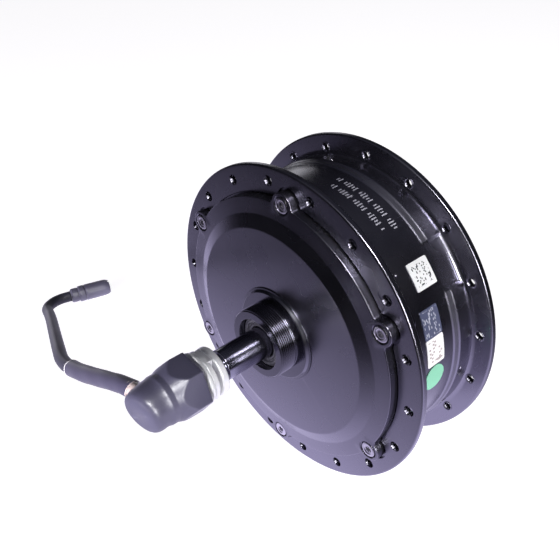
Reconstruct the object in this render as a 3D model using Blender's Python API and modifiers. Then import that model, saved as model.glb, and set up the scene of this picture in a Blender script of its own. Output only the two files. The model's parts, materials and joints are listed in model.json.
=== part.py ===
"""Geared rear hub motor for a disc-brake electric bicycle, one object for each piece.

The origin is on the axle's centre line, halfway between the two dropout faces. World Z is
up, and the drive side, with the freewheel thread and the motor cable, faces -Y.

Lengths are millimetres and become metres where a mesh is made. A height is measured along
the axle from the origin and is positive towards the drive side, so it is minus world Y.
Every turned piece is an outline of (radius, height) points.
"""
import math

import bmesh
import bpy
from mathutils import Vector

MM = 0.001
GAP = 0.3                       # clearance between pieces that touch

# Frame and wheel interfaces
DROPOUT_HEIGHT = 67.5           # half of the 135 mm between the frame's dropouts
AXLE_R = 7.5
AXLE_END_R = 6.0                # M12 ends
AXLE_FLAT = 10.0                # across the flats that sit in the dropouts
AXLE_DRIVE_END = 100.0
AXLE_BRAKE_END = -92.0
FLANGE_R = 81.0
DRIVE_FLANGE = 26.5             # outer face of the drive-side spoke flange
BRAKE_FLANGE = -24.7            # outer face of the brake-side spoke flange
FLANGE_THICK = 3.2
SPOKES_PER_FLANGE = 18
SPOKE_CIRCLE_R = 74.4
SPOKE_HOLE_R = 1.45
DISC_FACE = -52.2               # brake disc seat, 15.3 mm inside the dropout
DISC_BOLTS = 6
DISC_BOLT_CIRCLE_R = 22.0
FREEWHEEL_THREAD_R = 17.45      # 1.375 inch thread
THREAD_FACE = 45.6

# Shell and cover
DRUM_R = 70.0
DRUM_BORE_R = 63.5
PAD_R = 71.2                    # raised pads on the drum beside the brake-side flange
PADS = 3
PAD_START = 58.0                # degrees clockwise from the top
PAD_SWEEP = 103.0
COVER_TOP = 33.9
COVER_SEAT = 25.3
EARS = 6
EAR_CIRCLE_R = 67.8
EAR_R = 5.8
EAR_TOP = 31.0

# Bearings: 15 mm bore
BEARING_OUTER_R = 14.0
BEARING_WIDTH = 7.0
DRIVE_BEARING = 30.0            # lower face of the drive-side bearing
BRAKE_BEARING = -51.5

# Planetary gears: the ring has SUN_TEETH + 2 * PLANET_TEETH teeth
MODULE = 1.5
SUN_TEETH = 15
PLANET_TEETH = 24
RING_TEETH = SUN_TEETH + 2 * PLANET_TEETH
PLANETS = 3
PLANET_CIRCLE_R = (SUN_TEETH + PLANET_TEETH) * MODULE / 2
BACKLASH = 0.5
ADDENDUM = 1.3
DEDENDUM = 1.75
FLANK_SLOPE = 0.36              # tangent of a 20 degree pressure angle
GEAR_LOW = 15.4
GEAR_HIGH = 25.0

# Motor
STATOR_SLOTS = 12
STATOR_R = 51.2
STATOR_LOW = -18.0
STATOR_HIGH = 2.0

# Cable
JACKET_R = 3.5
SLEEVE_R = 4.1
CABLE_R = 3.5
JACKET_START = (-5.2, -105.4, 4.3)
JACKET_END = (-10.2, -105.7, 3.3)
SLEEVE_ROUTE = [
    (-11.0, -105.8, 3.0), (-18.0, -106.8, 1.4), (-27.0, -108.0, -2.0), (-38.0, -109.0, -6.9),
    (-50.0, -109.7, -12.4), (-62.6, -109.8, -17.9),
]
CABLE_ROUTE = [
    (-63.0, -109.8, -18.1), (-71.0, -109.2, -21.4), (-82.0, -106.9, -25.9), (-96.0, -102.2, -31.9),
    (-114.0, -95.9, -40.3), (-134.0, -88.8, -49.5), (-154.0, -81.7, -58.8), (-167.0, -77.3, -64.9),
    (-176.0, -74.4, -69.2),
]
CORNER_CENTER = (-179.6, -58.4)
CORNER_R = 14.4
CORNER_START = 250.0            # degrees from +X towards +Y
CORNER_END = 164.0
CONNECTOR_START = (-192.1, -51.1, -75.4)
CONNECTOR_TURN = 16.0           # degrees from +Y towards +X

STEPS_LARGE = 36
STEPS_MEDIUM = 28
STEPS_SMALL = 20
STEPS_TINY = 10

pieces = []
cutters = []


# ---------------------------------------------------------------- scene and materials

def clear_scene():
    """Remove what the file opened with."""
    for item in list(bpy.data.objects):
        bpy.data.objects.remove(item, do_unlink=True)


def new_collection(name):
    """Make a collection in the scene."""
    group = bpy.data.collections.new(name)
    bpy.context.scene.collection.children.link(group)
    return group


def make_material(name, color, roughness, metallic=0.0):
    """Make a Principled material."""
    surface = bpy.data.materials.new(name)
    surface.use_nodes = True
    shader = surface.node_tree.nodes["Principled BSDF"]
    shader.inputs["Base Color"].default_value = (*color, 1.0)
    shader.inputs["Roughness"].default_value = roughness
    shader.inputs["Metallic"].default_value = metallic
    return surface


def make_empty(name, height=0.0, x=0.0, z=0.0):
    """An empty on a turning axis."""
    empty = bpy.data.objects.new(name, None)
    empty.location = (x * MM, -height * MM, z * MM)
    hub_collection.objects.link(empty)
    return empty


def add_piece(piece, surface, parent):
    """Put a finished object among the pieces of the hub."""
    piece.data.materials.append(surface)
    hub_collection.objects.link(piece)
    piece.parent = parent
    pieces.append(piece)
    return piece


def add_cutter(cutter):
    """Put an object among the cutters."""
    cutter_collection.objects.link(cutter)
    cutter.hide_render = True
    cutter.display_type = "WIRE"
    cutters.append(cutter)
    return cutter


# ---------------------------------------------------------------- shapes

def stand_on_axle(item, height=0.0):
    """Turn local +Z to the drive side."""
    item.rotation_euler = (math.radians(90.0), 0.0, 0.0)
    item.location = (0.0, -height * MM, 0.0)
    return item


def turned(name, outline, steps, closed=True):
    """Turn an outline that runs down its outer side, top to bottom."""
    mesh = bpy.data.meshes.new(name)
    edges = [(i, i + 1) for i in range(len(outline) - 1)]
    if closed:
        edges.append((len(outline) - 1, 0))
    mesh.from_pydata([(radius * MM, 0.0, height * MM) for radius, height in outline], edges, [])
    item = bpy.data.objects.new(name, mesh)
    screw = item.modifiers.new("turn", "SCREW")
    screw.steps = steps
    screw.render_steps = steps
    screw.use_merge_vertices = True
    screw.merge_threshold = 0.00001
    return stand_on_axle(item)


def tube_outline(inner, outer, low, high):
    """Outline of a plain ring."""
    return [(inner, high), (outer, high), (outer, low), (inner, low)]


def circle_points(radius, count, center=(0.0, 0.0), turn=0.0):
    """Points of a circle, as (x, z)."""
    points = []
    for i in range(count):
        angle = turn + 2.0 * math.pi * i / count
        points.append((center[0] + radius * math.cos(angle), center[1] + radius * math.sin(angle)))
    return points


def clock_point(radius, degrees):
    """Point (x, z) at an angle measured clockwise from the top, seen from the drive side."""
    angle = math.radians(degrees)
    return (radius * math.sin(angle), radius * math.cos(angle))


def plate(name, outlines, low, high):
    """Flat piece across the axle, from (x, z) outlines; an outline inside another is a hole."""
    curve = bpy.data.curves.new(name, "CURVE")
    curve.dimensions = "2D"
    curve.fill_mode = "BOTH"
    curve.extrude = (high - low) / 2.0 * MM
    for points in outlines:
        spline = curve.splines.new("POLY")
        spline.points.add(len(points) - 1)
        for point, (x, z) in zip(spline.points, points):
            point.co = (x * MM, z * MM, 0.0, 1.0)
        spline.use_cyclic_u = True
    return mesh_of_curve(stand_on_axle(bpy.data.objects.new(name, curve), (low + high) / 2.0))


def tube(name, route, radius, resolution=2):
    """Round bar along a smooth curve through the (x, y, z) points of a route."""
    curve = bpy.data.curves.new(name, "CURVE")
    curve.dimensions = "3D"
    curve.bevel_depth = radius * MM
    curve.bevel_resolution = resolution
    curve.use_fill_caps = True
    points = smooth_route(route)
    spline = curve.splines.new("POLY")
    spline.points.add(len(points) - 1)
    for point, place in zip(spline.points, points):
        point.co = (*(place * MM), 1.0)
    return bpy.data.objects.new(name, curve)


def smooth_route(route, between=1):
    """Points of a Catmull-Rom curve through a route, with some added between each two."""
    knots = [Vector(place) for place in route]
    padded = [2 * knots[0] - knots[1], *knots, 2 * knots[-1] - knots[-2]]
    points = []
    for before, start, end, after in zip(padded, padded[1:], padded[2:], padded[3:]):
        for i in range(between + 1):
            t = i / (between + 1)
            points.append(0.5 * (2 * start + (end - before) * t
                                 + (2 * before - 5 * start + 4 * end - after) * t ** 2
                                 + (3 * start - before - 3 * end + after) * t ** 3))
    return points + [knots[-1]]


def cable_route():
    """Route of the free cable: down from the sleeve, round one corner and to its plug."""
    corner = []
    parts = 6
    for i in range(parts + 1):
        t = i / parts
        angle = math.radians(CORNER_START + (CORNER_END - CORNER_START) * t)
        corner.append((CORNER_CENTER[0] + CORNER_R * math.cos(angle),
                       CORNER_CENTER[1] + CORNER_R * math.sin(angle),
                       -75.7 + 3.0 * (1.0 - t) ** 2))
    return CABLE_ROUTE + corner + [(-192.3, -51.6, -75.5)]


def mesh_of_curve(item):
    """Make a curve object a mesh object with welded caps."""
    bpy.context.scene.collection.objects.link(item)
    depsgraph = bpy.context.evaluated_depsgraph_get()
    mesh = bpy.data.meshes.new_from_object(item.evaluated_get(depsgraph))
    mesh.materials.clear()
    shape = bmesh.new()
    shape.from_mesh(mesh)
    bmesh.ops.remove_doubles(shape, verts=shape.verts, dist=0.000001)
    shape.to_mesh(mesh)
    shape.free()
    name = item.name
    place = item.matrix_world.copy()
    bpy.data.objects.remove(item, do_unlink=True)
    result = bpy.data.objects.new(name, mesh)
    result.matrix_world = place
    return result


def block(name, size, center):
    """Box of a size (x, y, z) at a world centre."""
    mesh = bpy.data.meshes.new(name)
    shape = bmesh.new()
    bmesh.ops.create_cube(shape, size=1.0)
    bmesh.ops.scale(shape, vec=Vector(size) * MM, verts=shape.verts)
    bmesh.ops.translate(shape, vec=Vector(center) * MM, verts=shape.verts)
    shape.to_mesh(mesh)
    shape.free()
    return bpy.data.objects.new(name, mesh)


def ball(name, radius, center):
    """Small ball at a world centre."""
    mesh = bpy.data.meshes.new(name)
    shape = bmesh.new()
    bmesh.ops.create_uvsphere(shape, u_segments=8, v_segments=5, radius=radius * MM)
    bmesh.ops.translate(shape, vec=Vector(center) * MM, verts=shape.verts)
    shape.to_mesh(mesh)
    shape.free()
    return bpy.data.objects.new(name, mesh)


def bar(name, radius, start, end, sides=12):
    """Round bar from one world point to another."""
    start, end = Vector(start), Vector(end)
    mesh = bpy.data.meshes.new(name)
    shape = bmesh.new()
    bmesh.ops.create_cone(shape, cap_ends=True, segments=sides, radius1=radius * MM,
                          radius2=radius * MM, depth=(end - start).length * MM)
    shape.to_mesh(mesh)
    shape.free()
    item = bpy.data.objects.new(name, mesh)
    item.rotation_euler = (end - start).to_track_quat("Z", "Y").to_euler()
    item.location = (start + end) / 2.0 * MM
    return item


def combine(item, tool, operation):
    """Add, cut or keep the common part of two solids."""
    add_cutter(tool)
    step = item.modifiers.new(operation.lower(), "BOOLEAN")
    step.operation = operation
    step.solver = "EXACT"
    step.object = tool
    return item


def settle(item):
    """Keep a piece's evaluated mesh, and shade its round faces smooth."""
    depsgraph = bpy.context.evaluated_depsgraph_get()
    mesh = bpy.data.meshes.new_from_object(item.evaluated_get(depsgraph))
    mesh.shade_smooth()
    mesh.set_sharp_from_angle(angle=math.radians(30.0))
    item.modifiers.clear()
    item.data = mesh


# ---------------------------------------------------------------- axle and its hardware

def build_axle():
    """Stepped axle, bored from the drive end for the cable."""
    bore_r = 3.9
    bore_floor = -34.0
    outline = [
        (0.0, bore_floor), (bore_r, bore_floor), (bore_r, AXLE_DRIVE_END),
        (AXLE_END_R - 0.5, AXLE_DRIVE_END), (AXLE_END_R, AXLE_DRIVE_END - 0.5),
        (AXLE_END_R, DROPOUT_HEIGHT), (AXLE_R, DROPOUT_HEIGHT), (AXLE_R, -20.8), (9.5, -20.8),
        (9.5, -26.0), (AXLE_R, -26.0), (AXLE_R, -DROPOUT_HEIGHT), (AXLE_END_R, -DROPOUT_HEIGHT),
        (AXLE_END_R, AXLE_BRAKE_END + 0.5), (AXLE_END_R - 0.5, AXLE_BRAKE_END),
        (0.0, AXLE_BRAKE_END),
    ]
    axle = turned("axle", outline, STEPS_MEDIUM, closed=False)
    for side in (1, -1):
        for face in (1, -1):
            length = 40.0
            center = (face * (AXLE_FLAT / 2 + 2.0), -side * (DROPOUT_HEIGHT + length / 2), 0.0)
            combine(axle, block("axle_flat_cut", (4.0, length, 20.0), center), "DIFFERENCE")
    combine(axle, block("lead_slot_cut", (9.0, 5.0, 4.4), (4.5, 30.5, 0.0)), "DIFFERENCE")
    return add_piece(axle, steel_dark, fixed)


def build_washers(side_name, side):
    """Plain washer and anti-turn washer of one side; side is 1 on the drive side."""
    low, high = sorted((side * 70.9, side * 74.3))
    washer = turned("washer_" + side_name, tube_outline(AXLE_END_R + GAP, 11.6, low, high),
                    STEPS_MEDIUM)
    add_piece(washer, zinc, fixed)
    low, high = sorted((side * 76.3, side * 78.9))
    tab_washer = turned("tab_washer_" + side_name,
                        tube_outline(AXLE_END_R + GAP, 11.9, low, high), STEPS_MEDIUM)
    tab = block("tab", (9.6, 2.4, 5.0), (0.0, -side * 75.8, 8.9))
    add_piece(combine(tab_washer, tab, "UNION"), zinc, fixed)


def build_nut(side_name, side):
    """Flanged axle nut, 19 mm across its flats."""
    corner_r = 19.0 / math.sqrt(3.0)
    low, high = sorted((side * 81.6, side * 92.0))
    nut = plate("axle_nut_" + side_name, [circle_points(corner_r, 6)], low, high)
    flange_low, flange_high = sorted((side * 79.2, side * 81.9))
    flange = turned("nut_flange", [(0.0, flange_high), (12.6, flange_high),
                                   (12.6, flange_low), (0.0, flange_low)], STEPS_MEDIUM, False)
    combine(nut, flange, "UNION")
    hole = bar("nut_hole", AXLE_END_R + GAP, (0.0, -side * 70.0, 0.0), (0.0, -side * 99.0, 0.0), 16)
    add_piece(combine(nut, hole, "DIFFERENCE"), zinc, fixed)


def cap_envelope(profile, side):
    """Round outer shape of a cap, from points that run from its mouth to its end."""
    outline = [(0.0, profile[0][1]), *profile, (0.0, profile[-1][1])]
    outline = [(radius, side * height) for radius, height in outline]
    return outline[::-1] if side > 0 else outline


def build_cap_drive():
    """Rubber cap over the drive-side nut, with an offset end that the cable leaves sideways."""
    mouth = 82.2
    profile = [(14.7, mouth), (14.7, 89.0), (12.55, 94.6), (11.7, 98.0), (11.5, 99.8)]
    cap = turned("cap_drive", cap_envelope(profile, 1), STEPS_MEDIUM, closed=False)
    hexagon = plate("cap_hexagon", [circle_points(14.49, 6, turn=math.radians(55.0))], 80.0, 104.0)
    combine(cap, hexagon, "INTERSECT")
    offset_x, offset_z = clock_point(1.8, 120.0)
    end = [(9.4, 98.2), (10.2, 101.0), (10.4, 104.5), (10.3, 107.4), (9.8, 109.3), (8.8, 110.5),
           (7.4, 111.0)]
    end = turned("cap_end", cap_envelope(end, 1), STEPS_MEDIUM, closed=False)
    end.location = (offset_x * MM, 0.0, offset_z * MM)
    combine(cap, end, "UNION")
    cavity = [(11.4, mouth - 1.0), (11.4, 92.8), (7.4, 96.5), (7.4, 107.4), (5.8, 109.0)]
    cavity = turned("cap_cavity", cap_envelope(cavity, 1), STEPS_SMALL, False)
    combine(cap, cavity, "DIFFERENCE")
    start, end = Vector(JACKET_START), Vector(JACKET_END)
    way = (end - start).normalized()
    hole = bar("cap_exit", JACKET_R + GAP, start - way * 6.0, end + way * 4.0)
    add_piece(combine(cap, hole, "DIFFERENCE"), black_rubber, fixed)


def build_cap_brake():
    """Closed rubber cap over the brake-side nut."""
    mouth = 82.2
    profile = [(14.7, mouth), (14.7, 89.0), (12.55, 93.4), (12.2, 96.0), (11.2, 98.6),
               (9.2, 100.0), (8.0, 100.3)]
    cap = turned("cap_brake", cap_envelope(profile, -1), STEPS_MEDIUM, closed=False)
    hexagon = plate("cap_hexagon", [circle_points(14.49, 6, turn=math.radians(55.0))], -104.0, -80.0)
    combine(cap, hexagon, "INTERSECT")
    cavity = [(11.4, mouth - 1.0), (11.4, 92.6), (9.4, 94.8), (8.0, 97.0)]
    cavity = turned("cap_cavity", cap_envelope(cavity, -1), STEPS_SMALL, False)
    add_piece(combine(cap, cavity, "DIFFERENCE"), black_rubber, fixed)


# ---------------------------------------------------------------- cable

def build_cable():
    """Cable inside the axle, its bare jacket, the sleeve, the free cable and the connector."""
    inside = [(0.0, 32.0, 0.0), (0.0, 0.0, 0.0), (0.0, -50.0, 0.0), (0.0, -95.0, 0.0),
              (-0.1, -99.2, 0.3), (-0.5, -102.4, 1.7), (-1.9, -104.6, 3.6), (-3.9, -105.3, 4.3)]
    add_piece(tube("axle_cable", inside, 3.0), black_rubber, fixed)
    leads = [(8.2, 30.5, 0.0), (12.5, 29.4, 0.0), (17.5, 26.6, 0.0), (23.5, 25.1, 0.0),
             (31.0, 24.9, 0.0)]
    add_piece(tube("phase_leads", leads, 1.5, 2), copper, fixed)
    add_piece(bar("cable_jacket", JACKET_R, JACKET_START, JACKET_END, 16), clear_rubber, fixed)
    add_piece(tube("cable_sleeve", SLEEVE_ROUTE, SLEEVE_R), black_rubber, fixed)
    add_piece(tube("motor_cable", cable_route(), CABLE_R), black_rubber, fixed)
    build_connector()


def build_connector():
    """Boot, body and insert of the plug, along the cable's last direction."""
    turn = math.radians(CONNECTOR_TURN)
    way = Vector((math.sin(turn), math.cos(turn), 0.0))
    start = Vector(CONNECTOR_START)

    def along(item):
        item.rotation_euler = way.to_track_quat("Z", "Y").to_euler()
        item.location = start * MM
        return item

    boot = [(0.0, 9.6), (5.5, 9.6), (5.5, 6.0), (4.9, 5.6), (4.9, 4.9), (5.1, 4.6), (5.1, 1.2),
            (4.4, 0.0), (0.0, 0.0)]
    add_piece(along(turned("connector_boot", boot, STEPS_SMALL, False)), black_rubber, fixed)
    body = [(0.0, 17.6), (4.1, 17.6), (4.1, 26.6), (4.8, 26.6), (5.4, 25.2), (5.55, 23.0),
            (5.55, 10.3), (5.1, 9.9), (0.0, 9.9)]
    connector = along(turned("connector_body", body, STEPS_SMALL, False))
    key_way = (start + way * 12.0, start + way * 24.0)
    key = bar("connector_key", 0.9, *(point + Vector((0.0, 0.0, 5.2)) for point in key_way), 8)
    add_piece(combine(connector, key, "UNION"), black_rubber, fixed)
    insert = along(turned("connector_insert", [(0.0, 20.6), (3.8, 20.6), (3.8, 17.9), (0.0, 17.9)],
                          STEPS_TINY, False))
    side = Vector((0.0, 0.0, 1.0)).cross(way)
    for i in range(6):
        angle = math.pi * i / 3.0
        offset = 2.2 * (math.cos(angle) * side + math.sin(angle) * Vector((0.0, 0.0, 1.0)))
        pin = bar("connector_pin", 0.45, start + way * 20.0 + offset, start + way * 25.4 + offset, 6)
        combine(insert, pin, "UNION")
    add_piece(insert, brass, fixed)


# ---------------------------------------------------------------- shell and cover

def build_shell():
    """Hub shell: spoke flanges, drum, closed end wall and brake disc seat in one casting."""
    outline = [
        (65.0, COVER_SEAT), (70.2, COVER_SEAT), (70.7, DRIVE_FLANGE),
        (FLANGE_R - 0.4, DRIVE_FLANGE), (FLANGE_R, DRIVE_FLANGE - 0.4),
        (FLANGE_R, DRIVE_FLANGE - 2.4), (FLANGE_R - 0.8, DRIVE_FLANGE - FLANGE_THICK),
        (DRUM_R + 1.4, DRIVE_FLANGE - FLANGE_THICK), (DRUM_R, DRIVE_FLANGE - 4.6),
        (DRUM_R, -18.3), (DRUM_R + 0.8, -18.9), (DRUM_R + 0.8, -20.0),
        (DRUM_R + 2.2, BRAKE_FLANGE + FLANGE_THICK), (FLANGE_R - 0.8, BRAKE_FLANGE + FLANGE_THICK),
        (FLANGE_R, BRAKE_FLANGE + 2.4), (FLANGE_R, BRAKE_FLANGE + 0.4),
        (FLANGE_R - 0.4, BRAKE_FLANGE), (67.6, BRAKE_FLANGE), (66.8, -28.4), (60.0, -29.3),
        (54.0, -31.9), (28.6, -32.3), (26.6, -34.3), (26.6, DISC_FACE + 0.4), (26.2, DISC_FACE),
        (17.2, DISC_FACE), (17.0, -54.6), (16.6, -55.0), (12.6, -55.0), (12.6, -51.8),
        (BEARING_OUTER_R + GAP, -51.8), (BEARING_OUTER_R + GAP, -43.5), (17.5, -42.0),
        (17.5, -33.0), (21.0, -28.3), (53.0, -27.9), (59.5, -25.2), (DRUM_BORE_R, -22.0),
        (DRUM_BORE_R, 17.5), (65.0, 18.5),
    ]
    shell = turned("hub_shell", outline, STEPS_LARGE)
    bosses = [sector(66.5, 72.4, 360.0 / EARS * i - 4.0, 8.0, 2) for i in range(EARS)]
    combine(shell, plate("screw_bosses", bosses, 13.5, 24.5), "UNION")
    combine(shell, ear_cylinders("ear_pockets", 9.2, COVER_SEAT - 0.1, 30.0), "DIFFERENCE")
    combine(shell, ear_cylinders("screw_holes", 2.3, 14.8, 30.0, 8), "DIFFERENCE")
    half_step = 180.0 / SPOKES_PER_FLANGE
    combine(shell, spoke_drills("drive_drills", DRIVE_FLANGE, half_step, -4.0), "DIFFERENCE")
    combine(shell, spoke_drills("brake_drills", BRAKE_FLANGE, 0.0, 4.0), "DIFFERENCE")
    combine(shell, drum_pads(), "UNION")
    holes = [circle_points(2.1, 8, clock_point(DISC_BOLT_CIRCLE_R, 360.0 / DISC_BOLTS * i))
             for i in range(DISC_BOLTS)]
    combine(shell, plate("disc_bolt_holes", holes, DISC_FACE - 2.0, DISC_FACE + 9.0), "DIFFERENCE")
    add_piece(shell, black_paint, shell_axis)


def ear_cylinders(name, radius, low, high, sides=14):
    """One cylinder at each cover screw."""
    outlines = [circle_points(radius, sides, clock_point(EAR_CIRCLE_R, 360.0 / EARS * i))
                for i in range(EARS)]
    return plate(name, outlines, low, high)


def spoke_drills(name, face, first, depth):
    """Drills through one spoke flange, from just outside its outer face."""
    outlines = []
    for i in range(SPOKES_PER_FLANGE):
        center = clock_point(SPOKE_CIRCLE_R, first + 360.0 / SPOKES_PER_FLANGE * i)
        outlines.append(circle_points(SPOKE_HOLE_R, 6, center, turn=0.2))
    low, high = sorted((face - math.copysign(1.0, depth), face + depth))
    return plate(name, outlines, low, high)


def sector(inner, outer, start, sweep, parts):
    """Outline of a ring sector, with angles in degrees clockwise from the top."""
    angles = [start + sweep * i / parts for i in range(parts + 1)]
    return ([clock_point(outer, angle) for angle in angles]
            + [clock_point(inner, angle) for angle in reversed(angles)])


def drum_pads():
    """Long raised pads round the drum, up to the root of the brake-side flange."""
    outlines = [sector(66.5, PAD_R, PAD_START + 360.0 / PADS * i, PAD_SWEEP, 10)
                for i in range(PADS)]
    return plate("drum_pads", outlines, -20.9, -9.6)


def build_cover():
    """Drive-side cover with six screw ears."""
    outline = [
        (19.3, COVER_TOP), (53.4, COVER_TOP), (54.3, 33.6), (59.6, 31.5), (60.5, 31.3),
        (66.8, 30.6), (67.6, 29.8), (67.6, COVER_SEAT + GAP), (64.7, COVER_SEAT + GAP),
        (64.7, 23.2), (62.9, 23.2), (62.9, 20.8), (64.7, 20.8), (64.7, 18.9), (60.5, 18.9),
        (60.5, 25.0), (58.5, 26.6), (50.0, 26.6), (47.5, 29.9), (19.3, 29.9),
    ]
    cover = turned("drive_cover", outline, STEPS_LARGE)
    combine(cover, ear_cylinders("ears", EAR_R, COVER_SEAT + GAP + 0.1, EAR_TOP), "UNION")
    combine(cover, ear_cylinders("ear_counterbores", 4.6, 29.2, 34.0), "DIFFERENCE")
    combine(cover, ear_cylinders("ear_holes", 2.4, 20.0, 34.0, 8), "DIFFERENCE")
    combine(cover, ring_screw_holes("cover_ring_screw_holes", 26.0, 31.0), "DIFFERENCE")
    add_piece(cover, black_paint, shell_axis)


def build_cover_screws():
    """Six socket screws that hold the cover."""
    outline = [(0.0, 31.0), (3.3, 31.0), (3.7, 30.6), (3.7, 29.5), (2.0, 29.5), (2.0, 15.6),
               (1.6, 15.2), (0.0, 15.2)]
    for i in range(EARS):
        x, z = clock_point(EAR_CIRCLE_R, 360.0 / EARS * i)
        screw = turned("cover_screw_%d" % (i + 1), outline, STEPS_TINY, closed=False)
        screw.location = (x * MM, 0.0, z * MM)
        socket = plate("socket", [circle_points(1.7, 6, (x, z))], 29.9, 33.0)
        add_piece(combine(screw, socket, "DIFFERENCE"), steel_bright, shell_axis)


def build_boss():
    """Steel insert in the cover with the freewheel thread and the bearing seat."""
    outline = [
        (13.0, THREAD_FACE), (FREEWHEEL_THREAD_R - 0.45, THREAD_FACE),
        (FREEWHEEL_THREAD_R, THREAD_FACE - 0.5), (FREEWHEEL_THREAD_R, 36.8),
        (FREEWHEEL_THREAD_R + 0.1, 36.6), (FREEWHEEL_THREAD_R + 0.1, 35.8), (22.2, 35.8), (23.0, 35.0),
        (24.0, 34.9), (24.0, COVER_TOP + GAP), (19.0, COVER_TOP + GAP), (19.0, 30.3),
        (BEARING_OUTER_R + GAP, 30.3), (BEARING_OUTER_R + GAP, 37.3), (13.0, 37.3),
    ]
    add_piece(turned("freewheel_boss", outline, STEPS_MEDIUM), black_paint, shell_axis)


def build_labels():
    """Two blank labels and a round sticker on the drum."""
    inner, outer = DRUM_R + GAP, DRUM_R + 0.55
    code = plate("code_label", [sector(inner, outer, 43.9, 10.2, 3)], -6.8, 5.7)
    add_piece(code, paper, shell_axis)
    rating = plate("rating_label", [sector(inner, outer, 60.3, 21.9, 6)], -1.7, 9.3)
    add_piece(rating, foil, shell_axis)
    x, z = clock_point(1.0, 89.4)
    low = Vector((x * inner, -1.5, z * inner))
    high = Vector((x * outer, -1.5, z * outer))
    add_piece(bar("round_sticker", 6.4, low, high, 16), green_paper, shell_axis)


# ---------------------------------------------------------------- bearings and seals

def build_bearing(name, low, width, radii, ball_data, outer_axis, cage_axis):
    """Ball bearing: an inner ring on the axle, an outer ring, and the balls in their cage."""
    inner, inner_land, outer_land, outer = radii
    ball_r, ball_count = ball_data
    high = low + width
    add_piece(turned("bearing_%s_inner" % name, tube_outline(inner, inner_land, low, high),
                     STEPS_SMALL), steel_bright, fixed)
    add_piece(turned("bearing_%s_outer" % name, tube_outline(outer_land, outer, low, high),
                     STEPS_SMALL), steel_bright, outer_axis)
    circle_r = (inner_land + outer_land) / 2.0
    middle = low + width / 2.0
    cage = turned("ball_cage_" + name, tube_outline(circle_r - 0.5, circle_r + 0.5,
                                                    middle - 0.8, middle + 0.8), STEPS_SMALL)
    for i in range(ball_count):
        x, z = clock_point(circle_r, 360.0 / ball_count * i + 4.0)
        combine(cage, ball("bearing_ball", ball_r, (x, -middle, z)), "UNION")
    add_piece(cage, steel_bright, cage_axis)


def build_bearings():
    """The two hub bearings, the rotor bearing and the two lip seals."""
    hub_radii = (AXLE_R + GAP, 8.8, 12.7, BEARING_OUTER_R)
    build_bearing("drive", DRIVE_BEARING, BEARING_WIDTH, hub_radii, (1.6, 6), shell_axis,
                  cage_drive_axis)
    build_bearing("brake", BRAKE_BEARING, BEARING_WIDTH, hub_radii, (1.6, 6), shell_axis,
                  cage_brake_axis)
    build_bearing("rotor", 5.0, 5.0, (AXLE_R + GAP, 8.6, 11.2, 12.0), (0.95, 6), rotor_axis,
                  cage_rotor_axis)
    add_piece(turned("seal_drive", tube_outline(AXLE_R + GAP, 12.7, 39.6, 43.2), STEPS_SMALL),
              black_rubber, shell_axis)
    add_piece(turned("seal_brake", tube_outline(AXLE_R + GAP, 12.3, -54.4, -52.1), STEPS_SMALL),
              black_rubber, shell_axis)
    add_piece(turned("cover_oring", tube_outline(63.2, 64.7, 21.1, 22.9), STEPS_LARGE),
              black_rubber, shell_axis)


# ---------------------------------------------------------------- gears

def gear_outline(teeth, center=(0.0, 0.0), turn=0.0, inward=False):
    """Outline of a gear with straight flanks; the first tooth is centred on its turn."""
    side = -1.0 if inward else 1.0
    pitch_r = teeth * MODULE / 2.0
    tip_r = pitch_r + side * ADDENDUM
    root_r = pitch_r - side * DEDENDUM
    half = math.pi * MODULE / 4.0 - BACKLASH / 2.0
    half_tip = (half - ADDENDUM * FLANK_SLOPE) / tip_r
    half_root = (half + DEDENDUM * FLANK_SLOPE) / root_r
    points = []
    for i in range(teeth):
        middle = turn + 2.0 * math.pi * i / teeth
        for angle, radius in ((middle - half_root, root_r), (middle - half_tip, tip_r),
                              (middle + half_tip, tip_r), (middle + half_root, root_r)):
            points.append((center[0] + radius * math.cos(angle),
                           center[1] + radius * math.sin(angle)))
    return points


def planet_angle(i):
    """Angle of a planet's centre round the axle, in radians from +X towards +Z."""
    return math.radians(90.0 + 360.0 / PLANETS * i)


def planet_center(i):
    """Centre (x, z) of a planet gear."""
    angle = planet_angle(i)
    return (PLANET_CIRCLE_R * math.cos(angle), PLANET_CIRCLE_R * math.sin(angle))


def ring_screw_holes(name, low, high, radius=2.3):
    """One hole at each ring gear screw."""
    outlines = [circle_points(radius, 8, clock_point(53.8, 60.0 + 120.0 * i)) for i in range(3)]
    return plate(name, outlines, low, high)


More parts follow.
